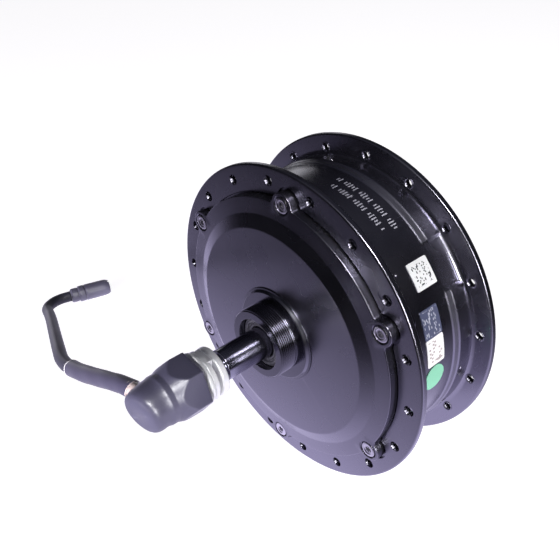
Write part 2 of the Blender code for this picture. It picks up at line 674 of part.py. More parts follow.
def build_gears():
    """Sun, three planets and the ring gear, in mesh."""
    first = planet_angle(0)
    ring = plate("ring_gear", [circle_points(57.0, STEPS_LARGE),
                               gear_outline(RING_TEETH, turn=first, inward=True)],
                 GEAR_LOW - 0.4, 26.3)
    combine(ring, ring_screw_holes("ring_screw_drills", 10.0, 30.0), "DIFFERENCE")
    add_piece(ring, steel_dark, shell_axis)
    head = [(0.0, 14.7), (3.2, 14.7), (3.2, 12.9), (0.0, 12.9)]
    for i in range(3):
        x, z = clock_point(53.8, 60.0 + 120.0 * i)
        screw = turned("ring_gear_screw_%d" % (i + 1), head, STEPS_TINY, closed=False)
        screw.location = (x * MM, 0.0, z * MM)
        shank = bar("ring_screw_shank", 2.0, (x, -13.5, z), (x, -30.4, z), 8)
        add_piece(combine(screw, shank, "UNION"), steel_bright, shell_axis)
    sun = plate("sun_gear", [gear_outline(SUN_TEETH, turn=first), circle_points(AXLE_R + 0.5, 16)],
                14.7, GEAR_HIGH)
    flange = turned("sun_flange", tube_outline(AXLE_R + 0.5, 17.5, 12.6, 14.9), 16)
    flange.rotation_euler = (math.radians(90.0), 0.0, 0.0)
    add_piece(combine(sun, flange, "UNION"), steel_dark, rotor_axis)
    for i in range(PLANETS):
        half_tooth = math.pi / PLANET_TEETH
        planet = plate("planet_gear_%d" % (i + 1),
                       [gear_outline(PLANET_TEETH, turn=planet_angle(i) + half_tooth),
                        circle_points(4.3, 12)], GEAR_LOW, GEAR_HIGH)
        add_piece(planet, nylon, planet_axes[i])


def build_carrier():
    """Planet carrier, its pins and the one-way clutch that holds it to the axle."""
    holes = [circle_points(4.3, 12, planet_center(i)) for i in range(PLANETS)]
    carrier = plate("planet_carrier", [circle_points(36.0, STEPS_MEDIUM),
                                       circle_points(14.3, STEPS_SMALL)] + holes, 25.6, 29.4)
    add_piece(carrier, steel_dark, fixed)
    for i in range(PLANETS):
        x, z = planet_center(i)
        head = [(0.0, 15.1), (5.6, 15.1), (5.6, 13.6), (0.0, 13.6)]
        pin = turned("planet_pin_%d" % (i + 1), head, 12, closed=False)
        pin.location = (x * MM, 0.0, z * MM)
        shank = bar("pin_shank", 4.0, (x, -14.2, z), (x, -29.2, z), 12)
        add_piece(combine(pin, shank, "UNION"), steel_bright, fixed)
    add_piece(turned("one_way_clutch", tube_outline(AXLE_R + GAP, 14.0, 25.6, 29.4), STEPS_SMALL),
              steel_bright, fixed)


# ---------------------------------------------------------------- motor

def build_stator():
    """Laminated core on its spider, the copper winding and the sensor board."""
    support = [
        (7.8, 2.0), (12.0, 2.0), (12.0, -5.0), (20.5, -5.0), (20.5, STATOR_HIGH),
        (23.7, STATOR_HIGH), (23.7, STATOR_LOW), (20.5, STATOR_LOW), (20.5, -11.0),
        (12.0, -11.0), (12.0, -20.5), (7.8, -20.5),
    ]
    add_piece(turned("stator_support", support, STEPS_SMALL), aluminium, fixed)
    pitch = 2.0 * math.pi / STATOR_SLOTS
    outline = []
    winding_bars = []
    for i in range(STATOR_SLOTS):
        angle = i * pitch
        for offset, radius in ((-0.44, STATOR_R), (0.0, STATOR_R), (0.44, STATOR_R),
                               (0.44, 47.5), (0.22, 46.0), (0.30, 30.0), (0.70, 30.0),
                               (0.78, 46.0), (0.56, 47.5)):
            outline.append((radius * math.cos(angle + offset * pitch),
                            radius * math.sin(angle + offset * pitch)))
        winding_bars.append([(radius * math.cos(angle + offset * pitch),
                              radius * math.sin(angle + offset * pitch))
                             for offset, radius in ((0.345, 30.5), (0.28, 45.5), (0.72, 45.5),
                                                    (0.655, 30.5))])
    core = plate("stator_core", [outline, circle_points(24.0, STEPS_SMALL)],
                 STATOR_LOW, STATOR_HIGH)
    add_piece(core, steel_dark, fixed)
    winding = plate("stator_winding", winding_bars, STATOR_LOW - 3.0, STATOR_HIGH + 3.0)
    for low, high in ((STATOR_HIGH + GAP, 6.8), (-22.8, STATOR_LOW - GAP)):
        end_ring = turned("winding_end", tube_outline(29.8, 46.2, low, high), STEPS_MEDIUM)
        combine(winding, end_ring, "UNION")
    add_piece(winding, copper, fixed)
    board = plate("hall_board", [sector(13.0, 29.2, 120.0, 150.0, 8)], -20.0, -18.4)
    add_piece(board, green_board, fixed)


def build_rotor():
    """Steel rotor cup and the magnet ring inside it."""
    outline = [
        (12.3, 12.3), (57.0, 12.3), (58.0, 11.3), (58.0, -20.0), (55.0, -20.0), (55.0, 9.3),
        (20.0, 9.3), (19.0, 4.6), (12.3, 4.6),
    ]
    add_piece(turned("rotor_can", outline, STEPS_LARGE), steel_dark, rotor_axis)
    add_piece(turned("magnet_ring", tube_outline(52.0, 54.7, -19.5, 8.6), STEPS_LARGE),
              steel_bright, rotor_axis)


# ---------------------------------------------------------------- assembly

clear_scene()
hub_collection = new_collection("geared_rear_hub_motor")
cutter_collection = new_collection("cutters")

black_paint = make_material("black_paint", (0.035, 0.034, 0.042), 0.42, 0.6)
steel_dark = make_material("steel_dark", (0.10, 0.10, 0.11), 0.35, 1.0)
steel_bright = make_material("steel_bright", (0.62, 0.62, 0.64), 0.28, 1.0)
zinc = make_material("zinc", (0.80, 0.80, 0.82), 0.30, 1.0)
aluminium = make_material("aluminium", (0.70, 0.70, 0.72), 0.40, 1.0)
copper = make_material("copper", (0.72, 0.36, 0.16), 0.35, 1.0)
brass = make_material("brass", (0.78, 0.62, 0.30), 0.35, 1.0)
black_rubber = make_material("black_rubber", (0.045, 0.045, 0.055), 0.60)
clear_rubber = make_material("clear_rubber", (0.78, 0.68, 0.66), 0.35)
nylon = make_material("nylon", (0.82, 0.80, 0.72), 0.50)
paper = make_material("paper", (0.90, 0.90, 0.88), 0.60)
foil = make_material("foil", (0.72, 0.73, 0.76), 0.40, 0.3)
green_paper = make_material("green_paper", (0.45, 0.80, 0.62), 0.60)
green_board = make_material("green_board", (0.05, 0.25, 0.12), 0.50)

fixed = make_empty("fixed_on_axle")
shell_axis = make_empty("shell_axis")
rotor_axis = make_empty("rotor_axis")
cage_drive_axis = make_empty("cage_drive_axis")
cage_brake_axis = make_empty("cage_brake_axis")
cage_rotor_axis = make_empty("cage_rotor_axis")
planet_axes = []
for number in range(PLANETS):
    planet_x, planet_z = planet_center(number)
    planet_axes.append(make_empty("planet_axis_%d" % (number + 1), 0.0, planet_x, planet_z))

build_axle()
for side_name, side_sign in (("drive", 1), ("brake", -1)):
    build_washers(side_name, side_sign)
    build_nut(side_name, side_sign)
build_cap_drive()
build_cap_brake()
build_cable()
build_shell()
build_cover()
build_cover_screws()
build_boss()
build_labels()
build_bearings()
build_gears()
build_carrier()
build_stator()
build_rotor()

bpy.context.view_layer.update()
for item in pieces:
    if item.type == "MESH":
        settle(item)
for item in cutters:
    bpy.data.objects.remove(item, do_unlink=True)
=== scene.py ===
"""Looks of a geared rear hub motor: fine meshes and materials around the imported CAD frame.

Lengths are millimetres and become metres where a mesh is made. Heights run along the axle,
positive towards the drive side (-Y). Angles are degrees clockwise from the top, seen from the
drive side.
"""

import json
import math

import bmesh
import bpy
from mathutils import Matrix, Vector


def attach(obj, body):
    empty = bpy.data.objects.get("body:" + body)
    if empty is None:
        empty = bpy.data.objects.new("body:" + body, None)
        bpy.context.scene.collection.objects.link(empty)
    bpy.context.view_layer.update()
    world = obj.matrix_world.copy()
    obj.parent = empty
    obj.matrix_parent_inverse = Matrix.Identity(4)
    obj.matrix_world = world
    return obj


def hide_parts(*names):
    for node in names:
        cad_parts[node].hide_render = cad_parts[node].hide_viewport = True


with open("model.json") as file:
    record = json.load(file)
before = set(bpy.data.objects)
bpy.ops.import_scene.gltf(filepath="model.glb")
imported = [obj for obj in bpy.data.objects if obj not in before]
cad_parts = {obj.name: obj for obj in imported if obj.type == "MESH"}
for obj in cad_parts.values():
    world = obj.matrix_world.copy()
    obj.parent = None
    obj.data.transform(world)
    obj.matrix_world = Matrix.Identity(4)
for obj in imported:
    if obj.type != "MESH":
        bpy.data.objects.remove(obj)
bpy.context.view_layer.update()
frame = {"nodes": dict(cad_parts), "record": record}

MM = 0.001
FLOOR_Z = -81.0
FIXED = "axle_and_stator"
SHELL = "shell"
DRIVE_WAY = (0.0, -1.0, 0.0)
BRAKE_WAY = (0.0, 1.0, 0.0)

# Camera and studio, in metres
LENS = 45.07
SENSOR = 36.0
CAMERA_PLACE = (0.19081, -0.20417, 0.21335)
CAMERA_BACK = (0.6035, -0.5471, 0.5800)
HUB_MIDDLE = (0.0, -0.02, 0.0)
# Name, place, width, height, power, and whether the light shows in gloss or in diffuse colour
LIGHTS = [
    ("softbox_top", (0.50, -0.36, 0.92), 0.28, 0.28, 9.0, "gloss"),
    ("softbox_right", (1.02, -0.29, 0.40), 0.20, 0.60, 8.0, "gloss"),
    ("fill_drum", (0.75, 0.50, 0.32), 0.30, 0.30, 8.0, "diffuse"),
    ("softbox_back", (-1.05, 0.70, 0.12), 0.70, 0.34, 0.5, "gloss"),
    ("fill_front", (0.08, -0.95, 0.08), 0.90, 0.24, 18.0, "diffuse"),
]
FLOOR_REACH = 6.0
FLOOR_DROP = 0.0003
FLOOR_GLOW = 0.88
CARD_REACH = 3.0
CARD_DROP = 0.0002
CARD_SQUEEZE = (0.10, 1.0, 0.0)
CARD_BRIGHT_TO = 0.035
CARD_FADE = 0.075
CARD_COLOR = (0.97, 0.90, 1.27, 1.0)
HORIZON_COLOR = (0.012, 0.012, 0.017, 1.0)
ZENITH_COLOR = (0.060, 0.062, 0.085, 1.0)
BACKDROP_COLOR = (0.90, 0.90, 0.92, 1.0)

# Shell and cover
EARS = 6
EAR_CIRCLE_R = 67.8
EAR_R = 5.8
EAR_FILLET = 2.6
COVER_R = 67.4
POCKET_R = 6.9
POCKET_FILLET = 1.9
FLANGE_INNER_R = 68.3
DRIVE_FLANGE = 26.5
BRAKE_FLANGE = -24.7
DRUM_R = 70.0
SPOKES = 18
SPOKE_CIRCLE_R = 74.4
PAD_RISE = 1.2
PAD_START = 58.0
PAD_END = 161.0
PAD_BEVEL = 1.3
PADS = 3
LABEL_RISE = 0.35
ROOT_CENTER = (73.4, -18.1)
ROOT_R = 3.4
FREEWHEEL_R = 17.45
DISC_HOLES = 6
DISC_HOLE_CIRCLE_R = 22.0

# Cord: the same route as in the CAD source
JACKET_START = (-5.2, -105.4, 4.3)
JACKET_END = (-10.2, -105.7, 3.3)
SLEEVE_ROUTE = [
    (-11.0, -105.8, 3.0), (-18.0, -106.8, 1.4), (-27.0, -108.0, -2.0), (-38.0, -109.0, -6.9),
    (-50.0, -109.7, -12.4), (-62.6, -109.8, -17.9),
]
CABLE_ROUTE = [
    (-71.0, -109.2, -21.4), (-82.0, -106.9, -25.9), (-96.0, -102.2, -31.9),
    (-114.0, -95.9, -40.3), (-134.0, -88.8, -49.5), (-154.0, -81.7, -58.8), (-167.0, -77.3, -64.9),
    (-176.0, -74.4, -69.2),
]
CORNER_CENTER = (-179.6, -58.4)
CORNER_R = 14.4
CORNER_START = 250.0
CORNER_END = 164.0
CORNER_LOW = -75.7
CORNER_DROP = 3.0
CONNECTOR_START = (-192.1, -51.1, -75.4)
CONNECTOR_TURN = 16.0
CABLE_R = 3.5
SLEEVE_R = 4.1
SLEEVE_SLANT = 1.5

# Closed end of the drive-side cap: (radius, distance), and the way in which it leans
CAP_END = [
    (11.48, 0.2), (11.36, 0.6), (11.24, 1.2), (11.12, 2.0), (11.02, 3.0), (10.96, 4.2),
    (10.90, 5.6), (10.78, 7.0), (10.55, 8.2), (10.15, 9.1), (9.6, 9.8), (8.9, 10.3), (8.0, 10.62),
    (7.0, 10.8), (5.5, 10.88), (0.2, 10.9),
]
CAP_LEAN = 14.0
CAP_ASIDE = (0.866, -0.5)

# Axle hardware
HEX_CORNER = 35.3
CAP_ACROSS = 25.1
CAP_BLEND = 0.22
NUT_ACROSS = 19.0
AXLE_FLAT = 5.0
THREAD_R = 5.95
THREAD_DEPTH = 0.6
THREAD_PITCH = 1.25


# -------- camera, lights and floor

def place_object(name, data):
    """Put a new object with this data in the scene."""
    item = bpy.data.objects.new(name, data)
    bpy.context.scene.collection.objects.link(item)
    return item


def make_camera():
    """Camera at the photograph's viewing angle."""
    data = bpy.data.cameras.new("camera")
    data.lens = LENS
    data.sensor_width = SENSOR
    data.clip_start = 0.01
    data.clip_end = 20.0
    camera = place_object("camera", data)
    camera.location = CAMERA_PLACE
    back = Vector(CAMERA_BACK).normalized()
    camera.rotation_euler = (-back).to_track_quat("-Z", "Y").to_euler()
    bpy.context.scene.camera = camera


def make_light(name, place, wide, tall, power, shows_in):
    """Soft oval light that faces the hub."""
    data = bpy.data.lights.new(name, "AREA")
    data.shape = "ELLIPSE"
    data.size = wide
    data.size_y = tall
    data.energy = power
    light = place_object(name, data)
    light.location = place
    way = Vector(HUB_MIDDLE) - light.location
    light.rotation_euler = way.to_track_quat("-Z", "Y").to_euler()
    light.visible_diffuse = shows_in == "diffuse"
    light.visible_glossy = shows_in == "gloss"


def plane(name, reach, height):
    """Square sheet parallel to the ground."""
    mesh = bpy.data.meshes.new(name)
    corners = [(-reach, -reach, height), (reach, -reach, height),
               (reach, reach, height), (-reach, reach, height)]
    mesh.from_pydata(corners, [], [(0, 1, 2, 3)])
    sheet = place_object(name, mesh)
    return sheet


def make_floor():
    """White floor that glows a little, so that only a soft contact shadow shows."""
    floor = plane("floor", FLOOR_REACH, FLOOR_Z * MM - FLOOR_DROP)
    floor.visible_glossy = False
    surface = bpy.data.materials.new("floor")
    surface.use_nodes = True
    shader = surface.node_tree.nodes["Principled BSDF"]
    set_inputs(shader, {
        "Base Color": (0.55, 0.54, 0.57, 1.0), "Roughness": 0.9, "Specular IOR Level": 0.0,
        "Emission Color": (1.0, 0.99, 1.0, 1.0), "Emission Strength": FLOOR_GLOW})
    floor.data.materials.append(surface)


def make_card():
    """What polished surfaces see of the table: bright beside the hub, dark further out."""
    card = plane("table_reflection", CARD_REACH, FLOOR_Z * MM - CARD_DROP)
    card.visible_camera = False
    card.visible_diffuse = False
    card.visible_shadow = False
    card.visible_transmission = False
    surface = bpy.data.materials.new("table_reflection")
    surface.use_nodes = True
    tree = surface.node_tree
    tree.nodes.remove(tree.nodes["Principled BSDF"])
    glow = node(tree, "ShaderNodeEmission", CARD_COLOR)
    place = node(tree, "ShaderNodeNewGeometry").outputs["Position"]
    squeeze = vector_math(tree, "MULTIPLY", place, CARD_SQUEEZE)
    away = vector_math(tree, "LENGTH", squeeze, output="Value")
    past = number_math(tree, "SUBTRACT", away, CARD_BRIGHT_TO)
    least = number_math(tree, "MAXIMUM", past, 0.0)
    fall = number_math(tree, "MULTIPLY", least, -1.0 / CARD_FADE)
    feed(tree, glow.inputs["Strength"], number_math(tree, "EXPONENT", fall))
    feed(tree, tree.nodes["Material Output"].inputs["Surface"], glow.outputs[0])
    card.data.materials.append(surface)


def make_world():
    """Dim room: dark round the horizon and lighter overhead, behind a pale backdrop."""
    world = bpy.data.worlds.new("studio")
    bpy.context.scene.world = world
    world.use_nodes = True
    tree = world.node_tree
    sky = tree.nodes["Background"]
    way = node(tree, "ShaderNodeTexCoord").outputs["Generated"]
    parts = node(tree, "ShaderNodeSeparateXYZ", way)
    ramp = node(tree, "ShaderNodeValToRGB", parts.outputs["Z"])
    stops = ramp.color_ramp.elements
    stops[0].position = 0.50
    stops[0].color = HORIZON_COLOR
    stops[1].position = 1.0
    stops[1].color = ZENITH_COLOR
    from_camera = node(tree, "ShaderNodeLightPath").outputs["Is Camera Ray"]
    seen = mixed(tree, from_camera, ramp.outputs["Color"], BACKDROP_COLOR)
    feed(tree, sky.inputs["Color"], seen)
    sky.inputs["Strength"].default_value = 1.0


def make_stage():
    """Glowing floor, its reflection card, dim room and studio lights."""
    bpy.context.scene.view_settings.view_transform = "Standard"
    make_floor()
    make_card()
    make_world()
    for light in LIGHTS:
        make_light(*light)


# -------- materials

def set_inputs(shader, values):
    """Set a node's inputs by name."""
    for key, value in values.items():
        shader.inputs[key].default_value = value


def feed(tree, socket, value):
    """Link a node's input to an output, or give it a value."""
    if isinstance(value, bpy.types.NodeSocket):
        tree.links.new(value, socket)
    else:
        socket.default_value = value


def node(tree, kind, *feeds, **values):
    """Add a shader node, set its properties and named inputs, and feed its first inputs."""
    made = tree.nodes.new(kind)
    for key, value in values.items():
        if hasattr(made, key):
            setattr(made, key, value)
        else:
            feed(tree, made.inputs[key.replace("_", " ")], value)
    for socket, value in zip(made.inputs, feeds):
        feed(tree, socket, value)
    return made


def number_math(tree, operation, *feeds):
    """Result of a sum with numbers."""
    return node(tree, "ShaderNodeMath", *feeds, operation=operation).outputs["Value"]


def vector_math(tree, operation, *feeds, output="Vector"):
    """Result of a sum with vectors."""
    return node(tree, "ShaderNodeVectorMath", *feeds, operation=operation).outputs[output]


def mixed(tree, share, first, second):
    """Colour part of the way from one colour to another."""
    made = node(tree, "ShaderNodeMix", share, data_type="RGBA")
    feed(tree, made.inputs[6], first)
    feed(tree, made.inputs[7], second)
    return made.outputs[2]


def finish_surface(name, color, roughness, metallic=0.0, grain=900.0, bump=0.12, spread=0.06,
                   tone=0.10, coat=0.0, edge_wear_and_highlight=None, specular=0.5, smear=0.0, sheen=0.0):
    """Procedural surface: fine grain bump, uneven gloss, soft colour change and lighter edges,
    which are worn edges and, on the rubber cap, partly a painted edge highlight.
    """
    surface = bpy.data.materials.new(name)
    surface.use_nodes = True
    tree = surface.node_tree
    shader = tree.nodes["Principled BSDF"]
    set_inputs(shader, {
        "Metallic": metallic, "Specular IOR Level": specular, "Coat Weight": coat,
        "Coat Roughness": 0.15, "Sheen Weight": sheen, "Sheen Roughness": 0.35,
        "Sheen Tint": (0.95, 0.92, 1.0, 1.0)})
    place = node(tree, "ShaderNodeTexCoord").outputs["Object"]
    broad = node(tree, "ShaderNodeTexNoise", place, Scale=38.0, Detail=3.0).outputs["Fac"]
    if smear:
        place = node(tree, "ShaderNodeMapping", place, Scale=(1.0, smear, 1.0)).outputs["Vector"]
    fine = node(tree, "ShaderNodeTexNoise", place, Scale=grain, Detail=2.0).outputs["Fac"]
    gloss = node(tree, "ShaderNodeMapRange", broad, From_Min=0.3, From_Max=0.7,
                 To_Min=roughness - spread, To_Max=roughness + spread)
    feed(tree, shader.inputs["Roughness"], gloss.outputs["Result"])
    result = mixed(tree, broad, (*[channel * (1.0 - tone) for channel in color], 1.0),
                   (*[min(1.0, channel * (1.0 + tone)) for channel in color], 1.0))
    if edge_wear_and_highlight:
        edge = node(tree, "ShaderNodeNewGeometry").outputs["Pointiness"]
        ramp = node(tree, "ShaderNodeMapRange", edge, From_Min=0.53, From_Max=0.62, To_Max=0.55)
        patchy = number_math(tree, "MULTIPLY", ramp.outputs["Result"], fine)
        result = mixed(tree, patchy, result, (*edge_wear_and_highlight, 1.0))
    feed(tree, shader.inputs["Base Color"], result)
    rise = node(tree, "ShaderNodeBump", Strength=bump, Distance=0.0001, Height=fine)
    feed(tree, shader.inputs["Normal"], rise.outputs["Normal"])
    return surface


def print_surface(name, back_color, ink, cells, share, margin, roughness):
    """Label print: random blank blocks inside a clear margin, from the label's own UV."""
    surface = finish_surface(name, back_color, roughness, grain=500.0, bump=0.05, tone=0.03)
    tree = surface.node_tree
    shader = tree.nodes["Principled BSDF"]
    uv = node(tree, "ShaderNodeUVMap").outputs["UV"]
    cell = vector_math(tree, "FLOOR", vector_math(tree, "MULTIPLY", uv, (*cells, 1.0)))
    chance = node(tree, "ShaderNodeTexWhiteNoise", cell, noise_dimensions="2D")
    dark = number_math(tree, "LESS_THAN", chance.outputs["Value"], share)
    away = vector_math(tree, "ABSOLUTE", vector_math(tree, "SUBTRACT", uv, (0.5, 0.5, 0.0)))
    parts = node(tree, "ShaderNodeSeparateXYZ", away)
    far = number_math(tree, "MAXIMUM", parts.outputs["X"], parts.outputs["Y"])
    inside = number_math(tree, "LESS_THAN", far, 0.5 - margin)
    amount = number_math(tree, "MULTIPLY", dark, inside)
    blank = shader.inputs["Base Color"].links[0].from_socket
    feed(tree, shader.inputs["Base Color"], mixed(tree, amount, blank, (*ink, 1.0)))
    return surface


# -------- mesh helpers

def spot(radius, degrees, height):
    """World point in metres from a radius, an angle from the top and a height."""
    angle = math.radians(degrees)
    return Vector((radius * math.sin(angle), -height, radius * math.cos(angle))) * MM


def fillet(corners):
    """Outline with its corners rounded: (radius, height) or (radius, height, fillet)."""
    points = []
    count = len(corners)
    for i, corner in enumerate(corners):
        here = Vector(corner[:2])
        size = corner[2] if len(corner) > 2 else 0.0
        if not size or i in (0, count - 1):
            points.append(tuple(here))
            continue
        before = (Vector(corners[i - 1][:2]) - here).normalized()
        after = (Vector(corners[i + 1][:2]) - here).normalized()
        half = math.acos(max(-1.0, min(1.0, before.dot(after)))) / 2.0
        if half > 1.55:
            points.append(tuple(here))
            continue
        reach = size / math.tan(half)
        center = here + (before + after).normalized() * (size / math.sin(half))
        start = here + before * reach - center
        end = here + after * reach - center
        sweep = start.angle_signed(end)
        parts = max(2, round(abs(sweep) / math.radians(15.0)))
        for k in range(parts + 1):
            turn = -sweep * k / parts
            points.append((center.x + start.x * math.cos(turn) - start.y * math.sin(turn),
                           center.y + start.x * math.sin(turn) + start.y * math.cos(turn)))
    return points


def solid(name, verts, faces):
    """Mesh object whose faces all look outwards."""
    mesh = bpy.data.meshes.new(name)
    mesh.from_pydata(verts, [], faces)
    shape = bmesh.new()
    shape.from_mesh(mesh)
    bmesh.ops.recalc_face_normals(shape, faces=shape.faces)
    shape.to_mesh(mesh)
    shape.free()
    return place_object(name, mesh)


def skin(rows, size, closed=False):
    """Faces between rows of points: the rows either run round, or end in two flat faces."""
    faces = []
    for k in range(rows if closed else rows - 1):
        low, high = k * size, (k + 1) % rows * size
        for i in range(size):
            j = (i + 1) % size
            faces.append((low + i, low + j, high + j, high + i))
    if not closed:
        faces.append(tuple(range(size)))
        faces.append(tuple(range((rows - 1) * size, rows * size)))
    return faces


def value_at(value, i):
    """A ring's radius or height in one column: a number, or one for each column."""
    return value[i] if isinstance(value, (list, tuple)) else value


def ring_mesh(name, columns, rings):
    """Skin over rings round the axle. Columns are angles, and a ring is (radius, height)
    or a list of world points."""
    verts = []
    for ring in rings:
        if isinstance(ring, list):
            verts += ring
            continue
        radius, height = ring
        for i, degrees in enumerate(columns):
            verts.append(spot(value_at(radius, i), degrees, value_at(height, i)))
    return solid(name, verts, skin(len(rings), len(columns), closed=True))


def even(count):
    """Evenly spaced columns."""
    return [360.0 * i / count for i in range(count)]


def star(main, ear, fillet_r):
    """Columns and radii of a circle with six round ears and filleted roots."""
    reach = main + fillet_r
    spread = ear + fillet_r
    root = math.acos((reach ** 2 + EAR_CIRCLE_R ** 2 - spread ** 2) / (2 * reach * EAR_CIRCLE_R))
    center = Vector((reach * math.cos(root), reach * math.sin(root)))
    touch = math.atan2(center.y, center.x - EAR_CIRCLE_R)
    half = []
    for i in range(10):
        angle = touch * i / 9
        half.append(Vector((EAR_CIRCLE_R + ear * math.cos(angle), ear * math.sin(angle))))
    start = touch + math.pi
    end = root + math.pi
    for i in range(1, 6):
        angle = start + (end - start) * i / 5
        half.append(center + fillet_r * Vector((math.cos(angle), math.sin(angle))))
    polar = [(math.degrees(math.atan2(p.y, p.x)), p.length) for p in half]
    edge = polar[-1][0]
    parts = 16
    polar += [(edge + (30.0 - edge) * i / parts, main) for i in range(1, parts + 1)]
    sector = [(-a, r) for a, r in reversed(polar[1:-1])] + polar
    columns, radii = [], []
    for i in range(EARS):
        for angle, radius in sector:
            columns.append(angle + 360.0 / EARS * i)
            radii.append(radius)
    return columns, radii


def cut(piece, cutter):
    """Cut a piece now, and drop the cutter."""
    step = piece.modifiers.new("cut", "BOOLEAN")
    step.operation = "DIFFERENCE"
    step.solver = "EXACT"
    step.object = cutter
    bake(piece)
    bpy.data.objects.remove(cutter, do_unlink=True)


def bake(piece):
    """Keep the evaluated mesh, without faces that have shrunk to nothing."""
    depsgraph = bpy.context.evaluated_depsgraph_get()
    mesh = bpy.data.meshes.new_from_object(piece.evaluated_get(depsgraph))
    shape = bmesh.new()
    shape.from_mesh(mesh)
    bmesh.ops.dissolve_degenerate(shape, edges=shape.edges, dist=0.0005 * MM)
    shape.to_mesh(mesh)
    shape.free()
    piece.modifiers.clear()
    piece.data = mesh


def join(name, items):
    """Join mesh objects into one."""
    shape = bmesh.new()
    for item in items:
        part = item.data.copy()
        part.transform(item.matrix_world)
        shape.from_mesh(part)
        bpy.data.objects.remove(item, do_unlink=True)
    mesh = bpy.data.meshes.new(name)
    shape.to_mesh(mesh)
    shape.free()
    return place_object(name, mesh)


def peg(place, way, profile, sides=24):
    """Closed turned shape from (radius, distance) along a way from a place, in mm."""
    way = Vector(way).normalized()
    side = way.orthogonal().normalized()
    other = way.cross(side)
    verts = []
    for radius, distance in profile:
        for i in range(sides):
            angle = 2.0 * math.pi * i / sides
            offset = radius * (math.cos(angle) * side + math.sin(angle) * other)
            verts.append((Vector(place) + way * distance + offset) * MM)
    return solid("peg", verts, skin(len(profile), sides))


def dress(piece, surface, body, slot, *nodes, angle=32.0):
    """Give a finished piece its material and shading, and tie it to the frame."""
    piece.data.materials.clear()
    piece.data.materials.append(surface)
    if piece.type == "MESH":
        piece.data.shade_smooth()
        piece.data.set_sharp_from_angle(angle=math.radians(angle))
        weigh = piece.modifiers.new("weigh", "WEIGHTED_NORMAL")
        weigh.keep_sharp = True
    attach(piece, body)
    if nodes:
        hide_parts(*nodes)
    return piece


def smooth_route(route, between):
    """Points of a Catmull-Rom curve through a route."""
    knots = [Vector(place) for place in route]
    padded = [2 * knots[0] - knots[1], *knots, 2 * knots[-1] - knots[-2]]
    points = []
    for before, start, end, after in zip(padded, padded[1:], padded[2:], padded[3:]):
        for i in range(between + 1):
            t = i / (between + 1)
            points.append(0.5 * (2 * start + (end - before) * t
                                 + (2 * before - 5 * start + 4 * end - after) * t ** 2
                                 + (3 * start - before - 3 * end + after) * t ** 3))
    return points + [knots[-1]]


def curve_tube(name, points, radius, resolution=8):
    """Curve with a round section through the points."""
    curve = bpy.data.curves.new(name, "CURVE")
    curve.dimensions = "3D"
    curve.bevel_depth = radius * MM
    curve.bevel_resolution = resolution
    curve.use_fill_caps = True
    spline = curve.splines.new("POLY")
    spline.points.add(len(points) - 1)
    for point, place in zip(spline.points, points):
        point.co = (*(Vector(place) * MM), 1.0)
    spline.use_smooth = True
    return place_object(name, curve)


# -------- cord

def cable_points():
    """Whole centreline of the cable, from the cap to the plug."""
    corner = []
    parts = 6
    for i in range(parts + 1):
        t = i / parts
        angle = math.radians(CORNER_START + (CORNER_END - CORNER_START) * t)
        corner.append((CORNER_CENTER[0] + CORNER_R * math.cos(angle),
                       CORNER_CENTER[1] + CORNER_R * math.sin(angle),
                       CORNER_LOW + CORNER_DROP * (1.0 - t) ** 2))
    way = (Vector(CONNECTOR_START) - Vector(corner[-1])).normalized()
    end = Vector(CONNECTOR_START) - way * 0.2
    return smooth_route([JACKET_START, JACKET_END] + SLEEVE_ROUTE[1:] + CABLE_ROUTE + corner
                        + [tuple(end)], 3)


def sleeve_mesh(name):
    """Hollow shrink sleeve with slightly uneven walls."""
    points = smooth_route(SLEEVE_ROUTE, 7)
    sides = 40
    verts, rows = [], []
    for k, place in enumerate(points):
        ahead = points[min(k + 1, len(points) - 1)] - points[max(k - 1, 0)]
        rows.append((place, ahead.normalized()))
    wall = [(row, SLEEVE_R) for row in range(len(rows))]
    wall += [(row, CABLE_R + 0.12) for row in reversed(range(len(rows)))]
    for row, radius in wall:
        place, way = rows[row]
        side = way.cross(Vector((0.0, 0.0, 1.0))).normalized()
        up = side.cross(way)
        slant = SLEEVE_SLANT * max(0.0, 1.0 - row / 7.0)
        for i in range(sides):
            angle = 2.0 * math.pi * i / sides
            wave = 0.10 * math.sin(row * 0.42 + 2.0 * angle) * math.sin(row * 0.23 + 1.0)
            size = radius + (wave if radius == SLEEVE_R else 0.0)
            arm = size * (math.cos(angle) * side + math.sin(angle) * up)
            verts.append((place + arm - way * slant * math.sin(angle)) * MM)
    return solid(name, verts, skin(len(wall), sides, closed=True)), rows


def torus_at(name, place, way, radius, thick, slant=0.0):
    """Small ring across a way, slanted backwards at its top."""
    way = way.normalized()
    side = way.cross(Vector((0.0, 0.0, 1.0))).normalized()
    other = side.cross(way)
    verts, faces = [], []
    around, section = 48, 10
    for i in range(around):
        angle = 2.0 * math.pi * i / around
        out = math.cos(angle) * side + math.sin(angle) * other
        for k in range(section):
            turn = 2.0 * math.pi * k / section
            point = place + out * (radius + thick * math.cos(turn)) + way * thick * math.sin(turn)
            point = point - way * slant * math.sin(angle)
            verts.append(point * MM)
    for i in range(around):
        for k in range(section):
            j, m = (i + 1) % around, (k + 1) % section
            faces.append((i * section + k, j * section + k, j * section + m, i * section + m))
    mesh = bpy.data.meshes.new(name)
    mesh.from_pydata(verts, [], faces)
    return place_object(name, mesh)


